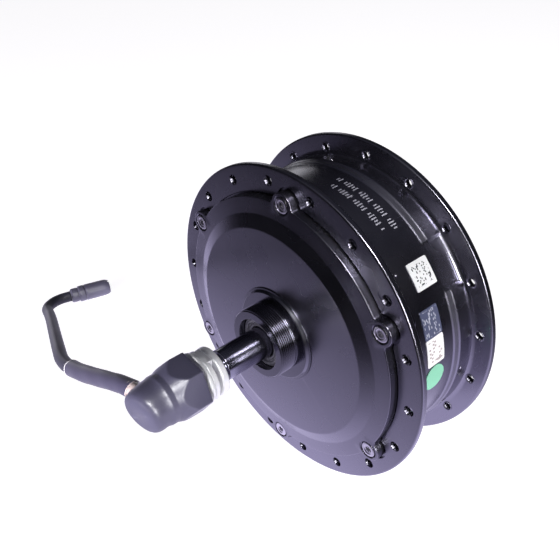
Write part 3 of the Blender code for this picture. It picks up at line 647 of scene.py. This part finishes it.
def make_cord():
    """Cable, sleeve, its edge rings, and the plug."""
    points = cable_points()
    cable = curve_tube("motor_cable_fine", points, CABLE_R)
    dress(cable, looks["cable"], FIXED, "black_rubber", "motor_cable")
    sleeve, rows = sleeve_mesh("cable_sleeve_fine")
    dress(sleeve, looks["sleeve"], FIXED, "black_rubber", "cable_sleeve")
    rim = torus_at("sleeve_rim_far", rows[-1][0], rows[-1][1], SLEEVE_R - 0.1, 0.34)
    dress(rim, looks["rim"], FIXED, "clear_rubber")
    # Pale ring at the sleeve's near mouth, in the jacket colour: a painted highlight on the
    # sleeve's flared edge.
    near = torus_at("sleeve_rim_near_painted_highlight", rows[0][0], rows[0][1], SLEEVE_R - 0.25, 0.4, SLEEVE_SLANT)
    dress(near, looks["jacket"], FIXED, "clear_rubber")
    start, end = Vector(JACKET_START), Vector(JACKET_END)
    jacket = peg(start, end - start, [(3.6, 0.0), (3.75, 0.4), (3.6, 2.4), (3.85, 4.0), (3.6, 5.2),
                                      (3.9, 6.6), (3.5, 7.0)], 40)
    jacket.name = "cable_jacket_fine"
    dress(jacket, looks["jacket"], FIXED, "clear_rubber", "cable_jacket")
    boot, body, insert = make_connector()


def make_connector():
    """Plug with its stepped boot and keyed collar."""
    turn = math.radians(CONNECTOR_TURN)
    way = Vector((math.sin(turn), math.cos(turn), 0.0))
    start = Vector(CONNECTOR_START)
    boot = peg(start, way, [(3.7, 0.0), (4.3, 0.15), (4.75, 0.8), (4.85, 1.4), (4.85, 4.4),
                            (4.6, 4.7), (4.6, 5.2), (5.35, 5.6), (5.5, 6.0), (5.5, 9.0),
                            (5.3, 9.4), (4.9, 9.6)], 64)
    boot.name = "connector_boot_fine"
    body = peg(start, way, [(4.9, 9.7), (5.2, 9.8), (5.5, 10.3), (5.55, 11.0), (5.5, 22.4),
                            (5.35, 24.0), (5.0, 25.4), (4.5, 26.3), (4.15, 26.6), (4.1, 26.4),
                            (4.05, 17.8), (0.4, 17.7)], 64)
    body.name = "connector_body_fine"
    up = Vector((0.0, 0.0, 1.0))
    notch = peg(start + way * 24.2 + up * 4.9, way, [(1.1, 0.0), (1.1, 5.0)], 20)
    cut(body, notch)
    dent = peg(start + way * 19.5 + up * 6.2 + way.cross(up) * -1.6, up,
               [(0.9, -1.0), (0.9, 1.0)], 3)
    cut(body, dent)
    insert = peg(start, way, [(3.9, 17.9), (3.9, 20.3), (3.7, 20.6), (0.5, 20.6)], 40)
    side = up.cross(way)
    pins = [insert]
    for i in range(6):
        angle = math.pi * i / 3.0
        offset = 2.2 * (math.cos(angle) * side + math.sin(angle) * up)
        pins.append(peg(start + offset, way, [(0.45, 20.0), (0.45, 24.8), (0.3, 25.3)], 14))
    insert = join("connector_insert_fine", pins)
    dress(boot, looks["plug"], FIXED, "black_rubber", "connector_boot")
    dress(body, looks["plug"], FIXED, "black_rubber", "connector_body")
    dress(insert, looks["brass"], FIXED, "brass", "connector_insert")
    return boot, body, insert


# -------- shell and cover

def pad_share(degrees):
    """How high the drum pads stand at an angle, from 0 to 1, with bevelled ends."""
    share = 0.0
    for k in range(PADS):
        turn = (degrees - 360.0 / PADS * k) % 360.0
        share = max(share, min((turn - PAD_START) / PAD_BEVEL, (PAD_END - turn) / PAD_BEVEL, 1.0))
    return max(0.0, share)


def extra_columns(columns, radii, angles):
    """Add columns at some angles, with radii read off between their neighbours."""
    pairs = sorted(zip([c % 360.0 for c in columns], radii))
    known = [c for c, r in pairs]
    for angle in angles:
        angle %= 360.0
        if min(abs(angle - c) for c in known) < 0.12:
            continue
        after = next((p for p in pairs if p[0] > angle), (pairs[0][0] + 360.0, pairs[0][1]))
        before = [p for p in pairs if p[0] <= angle] or [(pairs[-1][0] - 360.0, pairs[-1][1])]
        before = before[-1]
        share = (angle - before[0]) / (after[0] - before[0])
        pairs.append((angle, before[1] + (after[1] - before[1]) * share))
        pairs.sort()
        known = [c for c, r in pairs]
    return [c for c, r in pairs], [r for c, r in pairs]


def make_shell():
    """Hub shell with filleted edges, ear pockets, countersunk spoke holes and drum pads."""
    columns, pocket = star(FLANGE_INNER_R, POCKET_R, POCKET_FILLET)
    ends = []
    for k in range(PADS):
        for edge in (PAD_START, PAD_END):
            ends += [edge + 360.0 / PADS * k + step
                     for step in (-PAD_BEVEL, -1.05, -0.2, 0.0, 0.2, 1.05, PAD_BEVEL)]
    columns, pocket = extra_columns(columns, pocket, ends)

    def around(change):
        return [radius + change for radius in pocket]

    def pad(share):
        return [DRUM_R + PAD_RISE * share * pad_share(c) for c in columns]

    def root(radius):
        return [max(radius, top) for top in pad(1.0)]

    rings = [(65.0, 25.3), (around(-0.5), 25.3), (around(-0.15), 25.36), (around(0.0), 25.6),
             (around(0.0), 26.2), (around(0.08), 26.42), (around(0.3), 26.5)]
    rings += fillet([(79.0, 26.5), (81.0, 26.5, 0.9), (81.0, 23.3, 0.8), (79.0, 23.3)])
    rings += fillet([(72.4, 23.3), (70.0, 23.3, 1.6), (70.0, 20.0)])
    rings += [(70.0, -8.2), (pad(0.04), -8.5), (pad(0.20), -8.9), (pad(0.36), -9.3),
              (pad(0.40), -9.6), (pad(0.62), -11.2), (pad(0.66), -11.5), (pad(0.82), -11.9),
              (pad(0.98), -12.3), (pad(1.0), -12.6), (pad(1.0), -18.2)]
    for turn in range(0, 91, 5):
        sweep = math.radians(turn)
        rings.append((root(ROOT_CENTER[0] - ROOT_R * math.cos(sweep)),
                      ROOT_CENTER[1] - ROOT_R * math.sin(sweep)))
    rings += fillet([(76.0, -21.5), (81.0, -21.5, 0.9), (81.0, -24.7, 0.7), (79.0, -24.7),
                     (67.4, -24.7, 0.6), (67.0, -28.2, 1.4), (60.0, -29.3, 3.0),
                     (54.0, -31.9, 3.0), (27.0, -32.4, 2.2), (26.6, -52.2, 0.5), (17.2, -52.2, 0.2),
                     (17.0, -55.0, 0.5), (12.6, -55.0, 0.3), (12.6, -51.8)])
    rings += [(14.3, -51.8), (14.3, -43.5), (17.5, -42.0), (17.5, -33.0), (21.0, -28.3),
              (53.0, -27.9), (59.5, -25.2), (63.5, -22.0), (63.5, 17.5), (65.0, 18.5)]
    shell = ring_mesh("hub_shell_fine", columns, rings)
    tools = []
    for i in range(SPOKES):
        for face, first, way, mouth in ((DRIVE_FLANGE, 10.0, DRIVE_WAY, 2.7),
                                        (BRAKE_FLANGE, 0.0, BRAKE_WAY, 2.3)):
            center = spot(SPOKE_CIRCLE_R, first + 20.0 * i, face) / MM
            neck = mouth - 0.9
            tools.append(peg(center, way,
                             [(mouth, 0.25), (mouth - 0.3, -0.2), (neck, -1.5), (neck, -2.3),
                              (neck + 0.5, -3.1), (neck + 1.0, -3.7)], 24))
    for i in range(DISC_HOLES):
        center = spot(DISC_HOLE_CIRCLE_R, 60.0 * i, -52.2) / MM
        tools.append(peg(center, BRAKE_WAY,
                         [(2.9, 0.3), (2.1, -0.5), (2.1, -9.0), (1.0, -10.0)], 24))
    cut(shell, join("shell_tools", tools))
    make_screw_bosses()
    make_hole_lips()
    make_light_spot_dots()
    dress(shell, looks["paint"], SHELL, "black_paint", "hub_shell")
    shell.data.materials.append(looks["cast_paint"])
    shell.data.materials.append(looks["painted_hole_shade"])
    for face in shell.data.polygons:
        middle = face.center / MM
        radius = math.hypot(middle.x, middle.z)
        flange = -DRIVE_FLANGE < middle.y < -23.4 or 21.6 < middle.y < -BRAKE_FLANGE
        # Walls of the spoke holes and ear pockets get the darker paint: painted shade in these
        # hollows.
        if flange and 68.0 < radius < 77.6 and abs(face.normal.y) < 0.9:
            face.material_index = 2
        if DRUM_R + 0.44 < radius < DRUM_R + 0.78 and 9.3 < middle.y < 11.5:
            face.material_index = 1


def make_hole_lips():
    """Raised paint lips round the spoke holes inside the brake flange."""
    rings = []
    for i in range(SPOKES):
        place = spot(SPOKE_CIRCLE_R, 20.0 * i, BRAKE_FLANGE + 3.25) / MM
        rings.append(torus_at("lip", place, Vector(DRIVE_WAY), 2.35, 0.30))
    lips = join("spoke_hole_lips", rings)
    dress(lips, looks["paint"], SHELL, "black_paint")


def make_light_spot_dots():
    """Small bright steel dots on the drum and its pads: painted glints where light through the
    spoke holes falls on the drum.
    """
    light_spot_dots = []
    pad_top = DRUM_R + PAD_RISE
    for radius, degrees, height in ((DRUM_R, 45.0, 12.5), (pad_top, -11.0, -13.6),
                                    (pad_top, 92.5, -14.5)):
        place = spot(radius, degrees, height) / MM
        way = Vector((place.x, 0.0, place.z))
        light_spot_dots.append(peg(place, way, [(0.65, -0.6), (0.65, 0.0), (0.55, 0.2), (0.35, 0.35),
                                      (0.1, 0.4)], 20))
    piece = join("drum_light_spot_dots", light_spot_dots)
    dress(piece, looks["screw"], SHELL, "black_paint")


def make_screw_bosses():
    """Thread bosses behind the drive flange."""
    for i in range(EARS):
        middle = 360.0 / EARS * i
        rows = []
        for height, inset in ((13.3, 0.8), (13.7, 0.2), (14.2, 0.0), (23.6, 0.0)):
            outline = []
            for k in range(17):
                angle = middle + 3.9 * (k / 8 - 1.0)
                bulge = 2.5 * math.sqrt(max(0.0, 1.0 - (k / 8 - 1.0) ** 4)) - inset
                outline.append(spot(69.2 + max(0.0, bulge), angle, height))
            outline += [spot(68.0, middle + 3.9, height), spot(68.0, middle - 3.9, height)]
            rows.append(outline)
        verts = [point for row in rows for point in row]
        boss = solid("screw_boss_%d" % (i + 1), verts, skin(len(rows), len(rows[0])))
        dress(boss, looks["paint"], SHELL, "black_paint")


def make_cover():
    """Drive-side cover with a raised centre and six blended ears."""
    columns, edge = star(COVER_R, EAR_R, EAR_FILLET)

    def height_at(radius):
        return max(30.6, 31.25 - 0.11 * (radius - 60.8))

    def inset(amount, drop):
        radii = [radius - amount for radius in edge]
        return radii, [height_at(radius) - drop for radius in radii]

    rings = fillet([(19.3, 30.2), (19.3, 33.9, 0.25), (30.0, 33.9), (53.5, 33.9, 2.4),
                    (59.7, 31.4, 2.4), (62.0, 31.12)])
    rings += [(63.0, 31.01), inset(0.45, 0.0), inset(0.25, 0.04), inset(0.10, 0.14),
              inset(0.02, 0.28), inset(0.0, 0.5)]
    rings += [(list(edge), 26.0), ([radius - 0.3 for radius in edge], 25.7), (64.7, 25.7)]
    rings += [(64.7, 18.9), (60.5, 18.9), (60.5, 25.0), (58.5, 26.6), (50.0, 26.6), (47.5, 29.9),
              (19.3, 29.9)]
    cover = ring_mesh("drive_cover_fine", columns, rings)
    tools = []
    for i in range(EARS):
        center = spot(EAR_CIRCLE_R, 60.0 * i, 0.0) / MM
        tools.append(peg(center, DRIVE_WAY,
                         [(2.4, 24.0), (2.4, 28.9), (4.25, 28.9), (4.25, 30.25), (4.6, 30.62),
                          (4.7, 31.6)], 48))
    cut(cover, join("cover_tools", tools))
    dress(cover, looks["paint"], SHELL, "black_paint", "drive_cover")


def make_cover_screws():
    """Button-head socket screws with a collar."""
    for i in range(EARS):
        center = spot(EAR_CIRCLE_R, 60.0 * i, 0.0) / MM
        screw = peg(center, DRIVE_WAY,
                    [(1.9, 22.0), (1.9, 29.2), (3.6, 29.2), (3.8, 29.4), (3.8, 30.2),
                     (3.68, 30.5), (3.4, 30.68), (2.55, 30.72), (2.3, 30.62), (2.1, 30.4),
                     (0.6, 30.4)], 48)
        socket = peg(center, DRIVE_WAY, [(1.75, 29.3), (1.75, 31.6)], 6)
        cut(screw, socket)
        screw.name = "cover_screw_fine_%d" % (i + 1)
        dress(screw, looks["screw"], SHELL, "steel_bright", "cover_screw_%d" % (i + 1))


def thread_rings(radius, depth, pitch, top, low):
    """Crests and roots of a thread as (radius, height) rings."""
    rings = []
    turns = int((top - low) / pitch)
    for k in range(turns):
        start = top - k * pitch
        rings += [(radius - 0.07, start - 0.02 * pitch), (radius, start - 0.12 * pitch),
                  (radius - 0.07, start - 0.22 * pitch), (radius - depth, start - 0.56 * pitch),
                  (radius - depth, start - 0.66 * pitch)]
    return rings


def make_boss():
    """Freewheel boss with its fine thread, undercut, shoulder and base ring."""
    rings = fillet([(13.0, 37.4), (13.0, 45.6, 0.25), (16.7, 45.6, 0.15), (17.1, 45.2)])
    rings += thread_rings(FREEWHEEL_R, 0.55, 1.058, 45.2, 36.7)
    rings += fillet([(17.0, 36.7), (16.8, 36.5), (16.8, 35.8, 0.3), (22.3, 35.8, 0.5),
                     (23.15, 34.5, 0.12), (24.1, 34.45, 0.15), (24.1, 34.0), (19.2, 34.0),
                     (19.0, 30.3), (14.3, 30.3), (14.3, 37.4)])
    boss = ring_mesh("freewheel_boss_fine", even(288), rings)
    dress(boss, looks["boss"], SHELL, "black_paint", "freewheel_boss", angle=40.0)


def make_seals():
    """Lip seals with a case and a folded lip."""
    drive = [(7.75, 40.4), (7.7, 41.6), (8.1, 42.6, 0.3), (8.9, 43.0, 0.3), (9.5, 42.2, 0.3),
             (10.2, 42.0, 0.2), (10.6, 42.9, 0.3), (11.3, 43.1, 0.3), (11.8, 42.4, 0.2),
             (12.75, 42.3, 0.2), (12.75, 39.7), (8.6, 39.7)]
    brake = [(8.6, -52.2), (12.25, -52.2), (12.25, -54.0, 0.2), (11.5, -54.3, 0.2),
             (10.6, -53.7, 0.2), (9.6, -53.8, 0.2), (8.9, -54.4, 0.3), (8.0, -54.0, 0.2),
             (7.75, -52.8)]
    for side_name, profile in (("drive", drive), ("brake", brake)):
        seal = ring_mesh("seal_%s_fine" % side_name, even(160), fillet(profile))
        dress(seal, looks["seal"], SHELL, "black_rubber", "seal_" + side_name)


# -------- axle and hardware

def make_axle():
    """Axle with threaded, flatted ends and a smooth ground middle."""
    columns = even(168)

    def flats(radius):
        return [min(radius, AXLE_FLAT / max(0.01, abs(math.sin(math.radians(c)))))
                for c in columns]

    def thread(top, low):
        return [(flats(radius), height) for radius, height
                in thread_rings(THREAD_R, THREAD_DEPTH, THREAD_PITCH, top, low)]

    rings = [(3.9, 60.0), (3.9, 99.7), (flats(4.2), 100.0), (flats(5.3), 100.0),
             (flats(5.85), 99.5)]
    rings += thread(99.3, 68.2)
    rings += [(flats(5.7), 67.5)]
    rings += fillet([(7.0, 67.5), (7.5, 67.5, 0.25), (7.5, 60.0), (7.5, 0.0), (7.5, -20.8),
                     (9.5, -20.8), (9.5, -26.0), (7.5, -26.0), (7.5, -60.0), (7.5, -67.5, 0.25),
                     (7.0, -67.5)])
    rings += [(flats(5.7), -67.5)]
    rings += thread(-68.2, -91.2)
    rings += [(flats(5.85), -91.5), (flats(5.3), -92.0), (0.6, -92.0), (0.6, 60.0)]
    axle = ring_mesh("axle_fine", columns, rings)
    dress(axle, looks["axle"], FIXED, "steel_dark", "axle", angle=40.0)


def make_hardware():
    """Washers, anti-turn washers and flanged nuts on both ends."""
    for side_name, side in (("drive", 1.0), ("brake", -1.0)):
        def sided(outline, side=side):
            return [(r, side * h) for r, h in fillet(outline)[:-1]]

        washer = ring_mesh("washer_fine_" + side_name, even(160), sided(
            [(6.3, 72.6), (6.3, 70.9, 0.2), (11.7, 70.9, 0.55), (11.5, 74.3, 0.9),
             (6.3, 74.3, 0.2), (6.3, 72.6)]))
        dress(washer, looks["zinc"], FIXED, "zinc", "washer_" + side_name)
        ring = ring_mesh("tab_ring", even(160), sided(
            [(6.3, 77.5), (6.3, 76.3, 0.2), (11.9, 76.3, 0.45), (11.9, 78.9, 0.55),
             (6.3, 78.9, 0.2), (6.3, 77.5)]))
        tab = make_tab(side)
        both = join("tab_washer_fine_" + side_name, [ring, tab])
        dress(both, looks["zinc"], FIXED, "zinc", "tab_washer_" + side_name)
        make_nut(side_name, side)


def make_tab(side):
    """Bent tab of an anti-turn washer, which reaches towards the dropout."""
    bounds = ((-4.8, 4.8), (74.65, 77.2), (6.45, 11.35))
    verts = [(x * MM, -side * h * MM, z * MM) for x in bounds[0] for h in bounds[1]
             for z in bounds[2]]
    mesh = bpy.data.meshes.new("tab")
    mesh.from_pydata(verts, [], [])
    shape = bmesh.new()
    shape.from_mesh(mesh)
    bmesh.ops.convex_hull(shape, input=shape.verts)
    bmesh.ops.dissolve_limit(shape, angle_limit=0.02, verts=shape.verts, edges=shape.edges)
    bmesh.ops.bevel(shape, geom=shape.edges, offset=0.4 * MM, segments=3, profile=0.5,
                    affect="EDGES")
    bmesh.ops.recalc_face_normals(shape, faces=shape.faces)
    shape.to_mesh(mesh)
    shape.free()
    return place_object("tab", mesh)


def hex_radius(degrees, across, corner):
    """Distance from the axle to a hexagon's side; one corner is at an angle."""
    turn = (degrees - corner + 30.0) % 60.0 - 30.0
    return across / 2.0 / math.cos(math.radians(30.0 - abs(turn)))


def soft_least(a, b, blend):
    """Smaller of two numbers, with a rounded change between them."""
    share = max(0.0, blend - abs(a - b)) / blend
    return min(a, b) - share * share * blend / 4.0


def make_nut(side_name, side):
    """Flanged hexagon nut with a chamfered top."""
    columns = even(180)

    def hexed(limit):
        return [soft_least(hex_radius(c, NUT_ACROSS, HEX_CORNER), limit, 0.3) for c in columns]

    outline = [(6.3, 81.0), (6.3, 79.4), (6.6, 79.2), (11.9, 79.2), (12.45, 79.35), (12.6, 79.7),
               (12.6, 80.5), (12.3, 80.9), (11.4, 81.6), (hexed(11.0), 82.0), (hexed(11.0), 90.6),
               (hexed(10.5), 91.2), (hexed(9.6), 91.9), (9.0, 92.0), (6.6, 92.0), (6.3, 91.7)]
    rings = [(radius, side * height) for radius, height in outline]
    nut = ring_mesh("axle_nut_fine_" + side_name, columns, rings)
    dress(nut, looks["zinc"], FIXED, "zinc", "axle_nut_" + side_name)


def leaning_ring(columns, center, way, radius):
    """World points of a circle across a leaning way, one for each column."""
    outward = Vector((0.0, -1.0, 0.0)).rotation_difference(way)
    points = []
    for degrees in columns:
        arm = Vector((math.sin(math.radians(degrees)), 0.0, math.cos(math.radians(degrees))))
        points.append((center + outward @ (arm * radius)) * MM)
    return points


def cone_limit(height):
    """Chamfer cone of a cap: the round limit of its hexagon at a height."""
    if height < 88.9:
        return 14.75
    return max(11.6, 14.65 - (height - 88.9) * 0.375)


def skirt(columns, side, heights):
    """Rings of a cap's hexagon skirt, from inside its mouth up to the last height."""
    def row(height, shrink=0.0):
        return [soft_least(hex_radius(c, CAP_ACROSS, HEX_CORNER), cone_limit(height), CAP_BLEND)
                - shrink for c in columns]

    rings = [(11.5, 92.0), (11.5, 82.6), (11.6, 82.35), (row(82.3, 0.4), 82.3),
             (row(82.3, 0.1), 82.38), (row(82.3), 82.6)]
    rings += [(row(height), height) for height in heights]
    return [(radius, side * height) for radius, height in rings]


def make_cap_drive():
    """Rubber cap with a chamfered hexagon skirt and an offset round end."""
    columns = even(240)
    heights = [84.0, 87.0, 88.6] + [88.9 + 0.35 * k for k in range(25)]
    rings = skirt(columns, 1.0, heights + [97.8, 98.6, 99.3, 99.75])
    center = Vector((0.0, -99.95, 0.0))
    before = 0.0
    for radius, along in CAP_END:
        lean = math.radians(CAP_LEAN) * min(1.0, along / 8.5) ** 1.2
        way = Vector((math.sin(lean) * CAP_ASIDE[0], -math.cos(lean),
                      math.sin(lean) * CAP_ASIDE[1]))
        center = center + way * (along - before)
        before = along
        rings.append(leaning_ring(columns, center, way, radius))
    inner = center + way * -3.0
    rings.append(leaning_ring(columns, inner, way, 0.2))
    rings.append(leaning_ring(columns, inner, way, 6.9))
    rings += [(7.4, 97.5), (11.5, 93.0)]
    cap = ring_mesh("cap_drive_fine", columns, rings)
    start, stop = Vector(JACKET_START), Vector(JACKET_END)
    hole = peg(start, stop - start, [(3.9, -3.0), (3.9, 9.0)], 40)
    cut(cap, hole)
    dress(cap, looks["cap"], FIXED, "black_rubber", "cap_drive")


def make_cap_brake():
    """Closed rubber cap of the hidden side."""
    columns = even(240)
    rings = skirt(columns, -1.0, [84.0, 87.0, 88.6] + [88.9 + 0.35 * k for k in range(22)])
    rings += [(11.6, -97.0), (11.3, -98.0), (10.7, -98.9), (9.8, -99.5), (8.6, -99.9),
              (6.5, -100.1), (0.5, -100.2), (0.5, -97.0), (8.0, -96.8), (11.5, -93.0)]
    cap = ring_mesh("cap_brake_fine", columns, rings)
    dress(cap, looks["cap"], FIXED, "black_rubber", "cap_brake")


# -------- labels

def label_patch(name, start, sweep, low, high, round_corner):
    """Thin curved label with rounded corners and its own UV."""
    wide, tall = 40, 24
    verts, faces, uvs = [], [], []
    length = math.radians(sweep) * DRUM_R
    height = high - low
    for side_r in (DRUM_R + LABEL_RISE, DRUM_R + 0.02):
        for j in range(tall + 1):
            v = j / tall
            edge = min(v, 1.0 - v) * height
            pull = 0.0
            if edge < round_corner:
                pull = round_corner - math.sqrt(round_corner ** 2 - (round_corner - edge) ** 2)
            for i in range(wide + 1):
                u = i / wide
                across = pull + u * (length - 2.0 * pull)
                angle = start + math.degrees(across / DRUM_R)
                verts.append(spot(side_r, angle, low + v * height))
                uvs.append((across / length, v))
    row = wide + 1
    layer = row * (tall + 1)
    for j in range(tall):
        for i in range(wide):
            a = j * row + i
            faces.append((a, a + 1, a + row + 1, a + row))
            b = a + layer
            faces.append((b, b + row, b + row + 1, b + 1))
    rim = list(range(row)) + [row * j + wide for j in range(1, tall + 1)]
    rim += [row * tall + i for i in reversed(range(wide))]
    rim += [row * j for j in reversed(range(1, tall))]
    for a, b in zip(rim, rim[1:] + rim[:1]):
        faces.append((a, b, b + layer, a + layer))
    piece = solid(name, verts, faces)
    layer_uv = piece.data.uv_layers.new(name="print")
    for loop in piece.data.loops:
        layer_uv.data[loop.index].uv = uvs[loop.vertex_index]
    return piece


def make_labels():
    """Code label, two-part rating label and round sticker, all without lettering."""
    for name, start, sweep, low, high, corner, look, slot, *nodes in (
            ("code_label_fine", 43.9, 10.2, -6.8, 5.7, 0.25, "code", "paper", "code_label"),
            ("rating_label_fine", 60.3, 10.9, -1.7, 9.3, 0.6, "rating", "foil", "rating_label"),
            ("rating_label_panel", 71.3, 10.9, -1.7, 9.3, 0.6, "panel", "paper"),
            ("round_sticker_fine", 82.8, 10.4, -2.0, 10.8, 6.39, "sticker", "green_paper",
             "round_sticker")):
        patch = label_patch(name, start, sweep, low, high, corner)
        dress(patch, looks[look], SHELL, slot, *nodes)


def make_marks():
    """Two rows of plain ticks where the drum is engraved."""
    verts, faces = [], []
    for first, count, middle in ((1.5, 25, -2.0), (3.5, 22, 4.2)):
        for k in range(count):
            if k % 6 == 2:
                continue
            angle = first + 1.22 * k
            half = 1.6 if k % 3 else 1.0
            start = len(verts)
            for radius in (DRUM_R + 0.02, DRUM_R + 0.06):
                for turn, height in ((-0.24, -half), (0.24, -half), (0.24, half), (-0.24, half)):
                    verts.append(spot(radius, angle + turn, middle + height))
            for face in ((3, 2, 1, 0), (4, 5, 6, 7), (0, 1, 5, 4), (1, 2, 6, 5), (2, 3, 7, 6),
                         (3, 0, 4, 7)):
                faces.append([start + i for i in face])
    dress(solid("drum_marks", verts, faces), looks["mark"], SHELL, "paper")


# -------- what carries over

def dress_cad_nodes():
    """Procedural material on every CAD node that still shows, by its record's slot."""
    by_slot = {"steel_dark": "dark", "steel_bright": "bright", "aluminium": "cast",
               "copper": "copper", "black_rubber": "seal", "nylon": "nylon",
               "green_board": "board", "black_paint": "paint", "zinc": "zinc",
               "clear_rubber": "jacket", "brass": "brass"}
    slots = {entry["node"]: entry["material_slot"] for entry in frame["record"]["subparts"]}
    for name, item in frame["nodes"].items():
        if item.hide_render:
            continue
        surface = looks[by_slot[slots[name]]]
        for entry in item.material_slots:
            entry.material = surface
        if not item.material_slots:
            item.data.materials.append(surface)


looks = {
    "paint": finish_surface(
        "satin_black_paint", (0.27, 0.262, 0.315), 0.27, metallic=1.0, grain=1500.0, bump=0.06,
        spread=0.03, tone=0.05, edge_wear_and_highlight=(0.42, 0.41, 0.46)),
    "boss": finish_surface(
        "blackened_steel", (0.21, 0.205, 0.245), 0.20, metallic=1.0, grain=900.0, bump=0.06,
        spread=0.04),
    "axle": finish_surface(
        "black_polished_steel", (0.30, 0.295, 0.36), 0.17, metallic=1.0, grain=700.0, bump=0.02,
        spread=0.02, smear=0.08),
    "zinc": finish_surface(
        "bright_zinc", (0.95, 0.95, 0.97), 0.36, metallic=0.3, grain=600.0, bump=0.10, tone=0.03),
    "screw": finish_surface(
        "dark_screw_steel", (0.70, 0.68, 0.74), 0.25, metallic=1.0, grain=800.0, bump=0.06,
        spread=0.04),
    # Lighter edges on the cap: rubbed rubber, and partly a painted edge highlight.
    "cap": finish_surface(
        "moulded_rubber", (0.078, 0.073, 0.124), 0.32, grain=1100.0, bump=0.45, specular=1.0,
        spread=0.06, sheen=0.12, tone=0.16, edge_wear_and_highlight=(0.20, 0.19, 0.25)),
    "cable": finish_surface(
        "cable_rubber", (0.044, 0.041, 0.070), 0.52, grain=1300.0, bump=0.15, sheen=0.2,
        specular=0.35),
    "sleeve": finish_surface(
        "shrink_sleeve", (0.065, 0.058, 0.105), 0.45, grain=900.0, bump=0.35, sheen=0.4),
    "plug": finish_surface(
        "plug_plastic", (0.150, 0.140, 0.215), 0.38, grain=1200.0, bump=0.15, sheen=0.4),
    "mark": finish_surface(
        "engraved_mark", (0.62, 0.61, 0.70), 0.45, grain=700.0, bump=0.2, tone=0.3),
    "rim": finish_surface("glue_edge", (0.75, 0.72, 0.78), 0.35, bump=0.1),
    "jacket": finish_surface(
        "inner_jacket", (0.62, 0.50, 0.50), 0.20, bump=0.1, coat=0.5, tone=0.25),
    "seal": finish_surface(
        "seal_rubber", (0.050, 0.047, 0.062), 0.30, grain=1000.0, bump=0.2, specular=1.0),
    "dark": finish_surface(
        "machined_dark_steel", (0.14, 0.14, 0.15), 0.35, metallic=1.0, grain=700.0, smear=0.1),
    "bright": finish_surface(
        "machined_bright_steel", (0.62, 0.62, 0.64), 0.25, metallic=1.0, grain=700.0, smear=0.1,
        tone=0.05),
    "cast": finish_surface(
        "cast_aluminium", (0.66, 0.66, 0.68), 0.45, metallic=1.0, grain=500.0, bump=0.3, tone=0.06),
    "copper": finish_surface(
        "enamelled_copper", (0.70, 0.30, 0.12), 0.28, metallic=1.0, grain=500.0, bump=0.4,
        coat=0.6),
    "brass": finish_surface("plated_brass", (0.80, 0.62, 0.28), 0.25, metallic=1.0),
    "nylon": finish_surface("nylon", (0.80, 0.78, 0.70), 0.48, grain=900.0, bump=0.1),
    "board": finish_surface("circuit_board", (0.04, 0.22, 0.10), 0.40, grain=300.0, bump=0.1),
    "cast_paint": finish_surface(
        "cast_black_paint", (0.24, 0.232, 0.285), 0.36, metallic=0.95, grain=1100.0, bump=0.7,
        spread=0.05, tone=0.3),
    # Darker paint for the walls of the flange holes and pockets: painted shade in these hollows.
    "painted_hole_shade": finish_surface(
        "black_paint_with_painted_hole_shade", (0.11, 0.106, 0.13), 0.25, metallic=1.0, grain=1500.0, bump=0.06,
        spread=0.03, tone=0.05),
    "sticker": finish_surface("green_sticker", (0.24, 0.62, 0.42), 0.45, grain=500.0, bump=0.05),
    "code": print_surface(
        "code_print", (0.96, 0.96, 0.97), (0.03, 0.03, 0.04), (21.0, 21.0), 0.24, 0.13, 0.5),
    "rating": print_surface(
        "rating_print", (0.085, 0.095, 0.170), (0.50, 0.51, 0.60), (13.0, 21.0), 0.22, 0.06, 0.35),
    "panel": print_surface(
        "panel_print", (0.93, 0.91, 0.92), (0.45, 0.38, 0.38), (15.0, 9.0), 0.25, 0.10, 0.45),
}

make_camera()
make_cord()
make_stage()
make_shell()
make_cover()
make_cover_screws()
make_boss()
make_seals()
make_axle()
make_hardware()
make_cap_drive()
make_cap_brake()
make_labels()
make_marks()
dress_cad_nodes()
